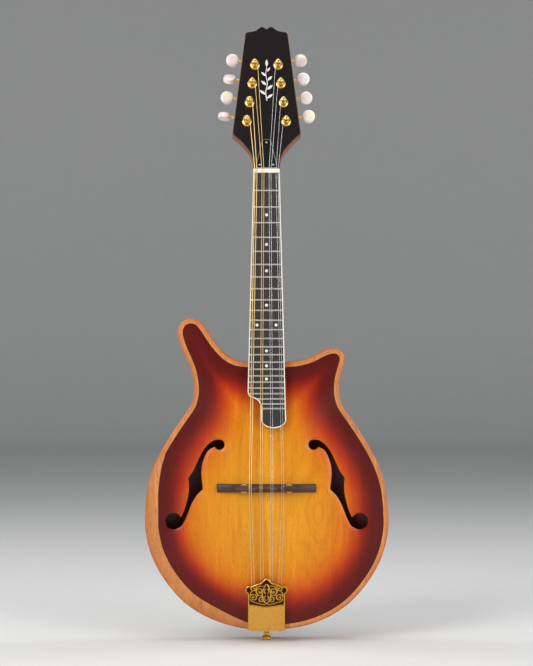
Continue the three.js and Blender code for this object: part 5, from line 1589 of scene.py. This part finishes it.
def cover_outline():
    """The cover's outline: straight sides, round ears, and a pointed crest."""
    ear_x, ear_up = COVER_HALF - 1.2, COVER_SIDE + EAR + 0.3
    ear = arc((ear_x, ear_up), EAR, -62, 118, 16)
    crest = smooth_line([(share * COVER_HALF, COVER_CREST - fall) for share, fall in
                         ((0.72, 8.3), (0.6, 7.2), (0.47, 6.2), (0.3, 5.1), (0.15, 1.8), (0, 0))])
    right = np.vstack([[(COVER_HALF, 0.0), (COVER_HALF, COVER_SIDE - 1.0)], ear, crest])
    return even_line(mirrored(right), 0.7, closed=True)


def spiral(centre, size, turns, start, hand, steps=36):
    """A scroll that winds in to its centre."""
    t = np.linspace(0, 1, steps)
    radius = size * (1 - t) ** 0.8 + 0.25
    turn = start + hand * turns * 2 * PI * t
    return np.stack([centre[0] + radius * np.cos(turn), centre[1] + radius * np.sin(turn)], axis=1)


def engraving():
    """The raised lines of the stamping, with their half widths, and the beads along its foot."""
    half = [
        (spiral((7.6, 44.6), 4.6, 1.4, -2.2, 1), 0.75),
        (spiral((14.4, 47.8), 3.6, 1.3, 2.6, -1), 0.65),
        (spiral((14.2, 37.6), 3.8, 1.3, 0.6, 1), 0.65),
        (spiral((5.6, 35.0), 3.4, 1.2, 2.4, -1), 0.6),
        (smooth_line([(0.0, 30.6), (3.0, 33.6), (4.4, 38.0), (4.6, 42.8), (3.0, 48.0),
                      (0.8, 52.6)], 8), 0.7),
        (smooth_line([(1.6, 29.8), (6.4, 30.2), (11.0, 31.8), (15.8, 33.2), (18.6, 36.0)], 8), 0.6),
        (smooth_line([(18.4, 38.0), (18.0, 42.4), (16.2, 44.6)], 8), 0.55),
        (smooth_line([(4.0, 50.8), (7.4, 50.6), (10.4, 49.0), (12.6, 45.6)], 8), 0.6),
        (smooth_line([(9.6, 40.0), (10.8, 43.0), (10.4, 41.0)], 8), 0.5),
        (smooth_line([(1.2, 47.4), (2.4, 44.6), (1.4, 42.2)], 6), 0.55),
        (smooth_line([(1.2, 39.6), (2.2, 37.0), (1.0, 34.4)], 6), 0.5),
    ]
    both = [(line * (hand, 1), width) for line, width in half for hand in (1, -1)]
    beads = [(x, swag(x) + 0.9) for x in np.arange(-19.2, 19.3, 1.6)]
    return both, np.array(beads)


def tailpiece_cover():
    """The cover: plain and bright below, stamped above, its sides bent back over the leaf."""
    lines, beads = engraving()
    outline = cover_outline()
    flat, faces = sheet_points(outline, [], 0.62)
    room = distance_to(outline, flat)
    raised = np.zeros(len(flat))
    for line, width in lines:
        away = distance_to(line, flat, closed=False)
        raised = np.maximum(raised, np.clip(1.25 - (away / width) ** 2, 0, 1))
    for bead in beads:
        away = np.linalg.norm(flat - bead, axis=1)
        raised = np.maximum(raised, np.sqrt(np.clip(1 - (away / 0.75) ** 2, 0, 1)))
    margin = np.clip((room - 1.0) / 0.5, 0, 1)
    ground = margin * np.clip((flat[:, 1] - swag(flat[:, 0])) / 0.5, 0, 1) * (1 - raised)
    roll = EDGE_ROLL - np.sqrt(np.maximum(EDGE_ROLL ** 2 - (EDGE_ROLL - room) ** 2, 0))
    rolled = 0.55 * np.where(room < EDGE_ROLL, roll, 0)
    pillow = np.sin(np.clip(room / 14.0, 0, 1) * PI / 2) * np.clip((flat[:, 1] - 25) / 8, 0, 1)
    out = 0.1 + 0.495 * pillow - rolled - 0.42 * ground
    parts = [thick_sheet(flat, faces, tail.at(flat[:, 0], out, flat[:, 1]),
                         tail.at(flat[:, 0], np.minimum(out, 0.0) - SHEET, flat[:, 1]))]
    section = [(COVER_HALF, -0.55), (COVER_HALF, -6.7), (COVER_HALF - SHEET, -6.7),
               (COVER_HALF - SHEET, -0.8)]
    for hand in (-1, 1):
        parts.append(skin([[tail.at(hand * x, out, up) for x, out in section]
                           for up in np.linspace(0.0, COVER_SIDE, 3)]))
    plain = np.zeros(sum(len(points) for points, _ in parts) - len(flat))
    make("stamped_tailpiece_cover", parts, ENGRAVED, rides="tailpiece_cover",
         stands_for=["tailpiece_cover"], crease=60, weigh=False,
         values={"sunk": np.r_[ground, plain]})


def strap_button():
    """The turned button at the tail, with its wood screw run into the tail block."""
    high, r = BODY_TAIL - 1.8, 6.3
    profile = [(0, 0.35), (2.0, 0.3), (3.4, 0.0), (r - 1.6, 0.0), (r - 0.7, 0.25),
               (r - 0.15, 0.8), (r, 1.5), (r - 0.1, 2.1), (r - 0.6, 2.7), (0.68 * r, 3.5),
               (0.55 * r, 4.3), (0.46 * r, 5.6), (0.45 * r, 6.6), (0.5 * r, 7.8), (0.6 * r, 9.0),
               (0.74 * r, 9.9), (0.85 * r, 10.5), (0.857 * r, high), (2.0, high), (2.0, 28.0),
               (0.7, 33.2), (0, 33.6)]
    make("turned_strap_button", [spin(profile, (0, 0, 0), (0, 0, 1), 56)], GOLD,
         stands_for=["strap_button"], crease=35)


bridge_base()
bridge_saddle()
thumbwheel("bass", STUD_X)
thumbwheel("treble", -STUD_X)
tailpiece_cover()
strap_button()
for side in ("bass", "treble"):
    low, high = low_high(f"{side}_tailpiece_screw")
    middle = (low + high) / 2
    screw = wood_screw(f"{side}_tail_screw", (middle[0], middle[1], low[2] + 1.5), (0, 0, -1.0),
                       (high[0] - low[0]) / 2, 11.0, GOLD)
    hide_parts(f"{side}_tailpiece_screw")
frame["nodes"]["tailpiece_base"].data.materials[0] = GOLD

# ---------------------------------------------------------------- strings

POST_OF = {"g_string_1": "bass_1", "g_string_2": "bass_2", "d_string_1": "bass_3",
           "d_string_2": "bass_4", "a_string_1": "treble_4", "a_string_2": "treble_3",
           "e_string_1": "treble_2", "e_string_2": "treble_1"}
FIRST_TURN = 8.5  # over the headstock's face
TURNS = 2.6
EYE = 0.85  # inner radius of the loop on the tail hook
CORNER = 1.2  # how far from the nut the string starts to bend over it


def tube(name, line, radius, finish, start=0.0):
    """A string along a line; `along` measures it for its windings."""
    line = np.asarray(line, float)
    sides = 10
    points, faces = sweep(line, radius, sides)
    run = start + np.r_[0, np.cumsum(np.linalg.norm(np.diff(line, axis=0), axis=1))]
    return make(name, [(points, faces)], finish, rides=None, weigh=False,
                values={"along": np.repeat(run, sides)})


def string(name):
    """One string in two pieces that meet on the saddle: one to the nut and round its post, one
    back to its hook."""
    at_tail, at_saddle, at_nut = (np.array(p) for p in STRINGS[name])
    radius = RADIUS[name[0]]
    finish = BRONZE if name[0] in "gd" else PLAIN
    hand = -1 if POST_OF[name].startswith("bass") else 1
    post_place = head.of([drawn(f"post_{POST_OF[name]}_turn")[0]])[0]
    reach = POST_RADIUS + SNUG + radius
    turned = np.linspace(0, TURNS * 2 * PI, int(TURNS * 28))
    pitch = 2 * radius + 0.06
    turn = (PI if hand > 0 else 0.0) - hand * turned
    helix = head.at(post_place[0] + reach * np.cos(turn), FIRST_TURN + pitch * turned / (2 * PI),
                    post_place[2] + reach * np.sin(turn))
    speaking = at_saddle + np.linspace(0, 1, 24)[:, None] * (at_nut - at_saddle)
    behind = at_nut + np.linspace(0, 1, 12)[1:-1, None] * (helix[0] - at_nut)
    front = smooth_corner(np.vstack([speaking, behind, helix]), len(speaking) - 1)
    speaking_piece = tube(f"{name}_speaking", front, radius, finish)
    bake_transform(speaking_piece)
    away = at_tail - at_saddle
    tail_line = at_saddle + np.linspace(0, 1, 10)[:, None] * away
    eye_x, eye_out, eye_up = tail.of([at_tail])[0] - (0, 0, 0.8 + radius)
    bend = np.linspace(0.5 * PI, -1.35 * PI, 26)
    eye = tail.at(eye_x + (EYE + radius) * np.cos(bend), eye_out,
                  eye_up + (EYE + radius) * np.sin(bend))
    tail_piece = tube(f"{name}_tail_end", np.vstack([tail_line[:-1], eye]), radius, finish,
                      start=-float(np.linalg.norm(away)))
    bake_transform(tail_piece)
    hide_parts(name)


def smooth_corner(line, index):
    """Eases one corner of a line with a short bend."""
    before, at, after = line[index - 1], line[index], line[index + 1]
    way_in = (at - before) / np.linalg.norm(at - before)
    way_out = (after - at) / np.linalg.norm(after - at)
    bend = [at - way_in * CORNER * (1 - t) ** 2 + way_out * CORNER * t ** 2
            for t in np.linspace(0, 1, 7)]
    return np.vstack([line[:index], bend, line[index + 1:]])


for name in STRINGS:
    string(name)

# ---------------------------------------------------------------- stage, lights and camera


def studio():
    """A plain pale round stage: a floor under the strap button that curves up into a wall."""
    made, tree, surface = new_finish("pale_paper_sweep", "", Roughness=0.9)
    fibre = add(tree, "TexNoise", Scale=1 / 40.0, Detail=3.0, Vector=millimetres(tree))
    tone = add(tree, "MixRGB", Fac=fibre.outputs[0], Color1="d9d9d8", Color2="dddddc")
    tree.links.new(tone.outputs[0], surface.inputs["Base Color"])
    reach, bend, tall = 5200.0, 1200.0, 4200.0  # out to the wall, its foot's curve, its height
    floor = cad_bounds[0][2] / MM - 0.2
    turn = np.linspace(0, PI / 2, 17)
    profile = [(0, floor), (1000.0, floor), (2500.0, floor)]
    profile += [(reach - bend + bend * math.sin(t), floor + bend * (1 - math.cos(t))) for t in turn]
    profile += [(reach, floor + tall)]
    points, faces = spin(profile, (0, 0, 0), (0, 0, 1), 96)
    mesh = bpy.data.meshes.new("paper_sweep")
    mesh.from_pydata([tuple(p) for p in points * MM], [], [f[::-1] for f in faces])
    mesh.shade_smooth()
    mesh.materials.append(made)
    sweep_piece = bpy.data.objects.new("paper_sweep", mesh)
    bpy.context.scene.collection.objects.link(sweep_piece)


def soft_light(name, place, aim, size, power, tint="ffffff"):
    """A square soft box that faces a point."""
    lamp = bpy.data.lights.new(name, "AREA")
    lamp.shape = "RECTANGLE"
    lamp.size, lamp.size_y = size
    lamp.energy = power
    lamp.color = colour(tint)[:3]
    box = bpy.data.objects.new(name, lamp)
    box.location = place
    box.rotation_euler = (Vector(aim) - Vector(place)).to_track_quat("-Z", "Y").to_euler()
    bpy.context.scene.collection.objects.link(box)


studio()
CHEST = (0, 0, 0.25)  # the middle of the body, where the lights are aimed, in metres
soft_light("key_soft_box", (-1.5, -2.0, 1.5), CHEST, (1.2, 1.6), 48)
soft_light("fill_soft_box", (1.7, -1.9, 0.9), CHEST, (1.2, 1.6), 32)
soft_light("top_soft_box", (0.0, -0.2, 2.2), CHEST, (1.8, 1.2), 18)
soft_light("left_edge_light", (-1.6, 0.5, 0.9), CHEST, (0.4, 1.6), 10)
soft_light("right_edge_light", (1.6, 0.5, 0.9), CHEST, (0.4, 1.6), 10)

world = bpy.data.worlds.new("studio_air")
world.use_nodes = True
world.node_tree.nodes["Background"].inputs[0].default_value = (0.9, 0.94, 1.0, 1)
world.node_tree.nodes["Background"].inputs[1].default_value = 0.16
bpy.context.scene.world = world
bpy.context.scene.view_settings.view_transform = "Standard"

camera = bpy.data.cameras.new("camera")
camera.lens = 115.46
camera.sensor_width = 36.0
camera.clip_end = 50.0
viewer = bpy.data.objects.new("camera", camera)
viewer.location = (0, -2.422, 0.3469)
viewer.rotation_euler = (PI / 2, 0, 0)
bpy.context.scene.collection.objects.link(viewer)
bpy.context.scene.camera = viewer
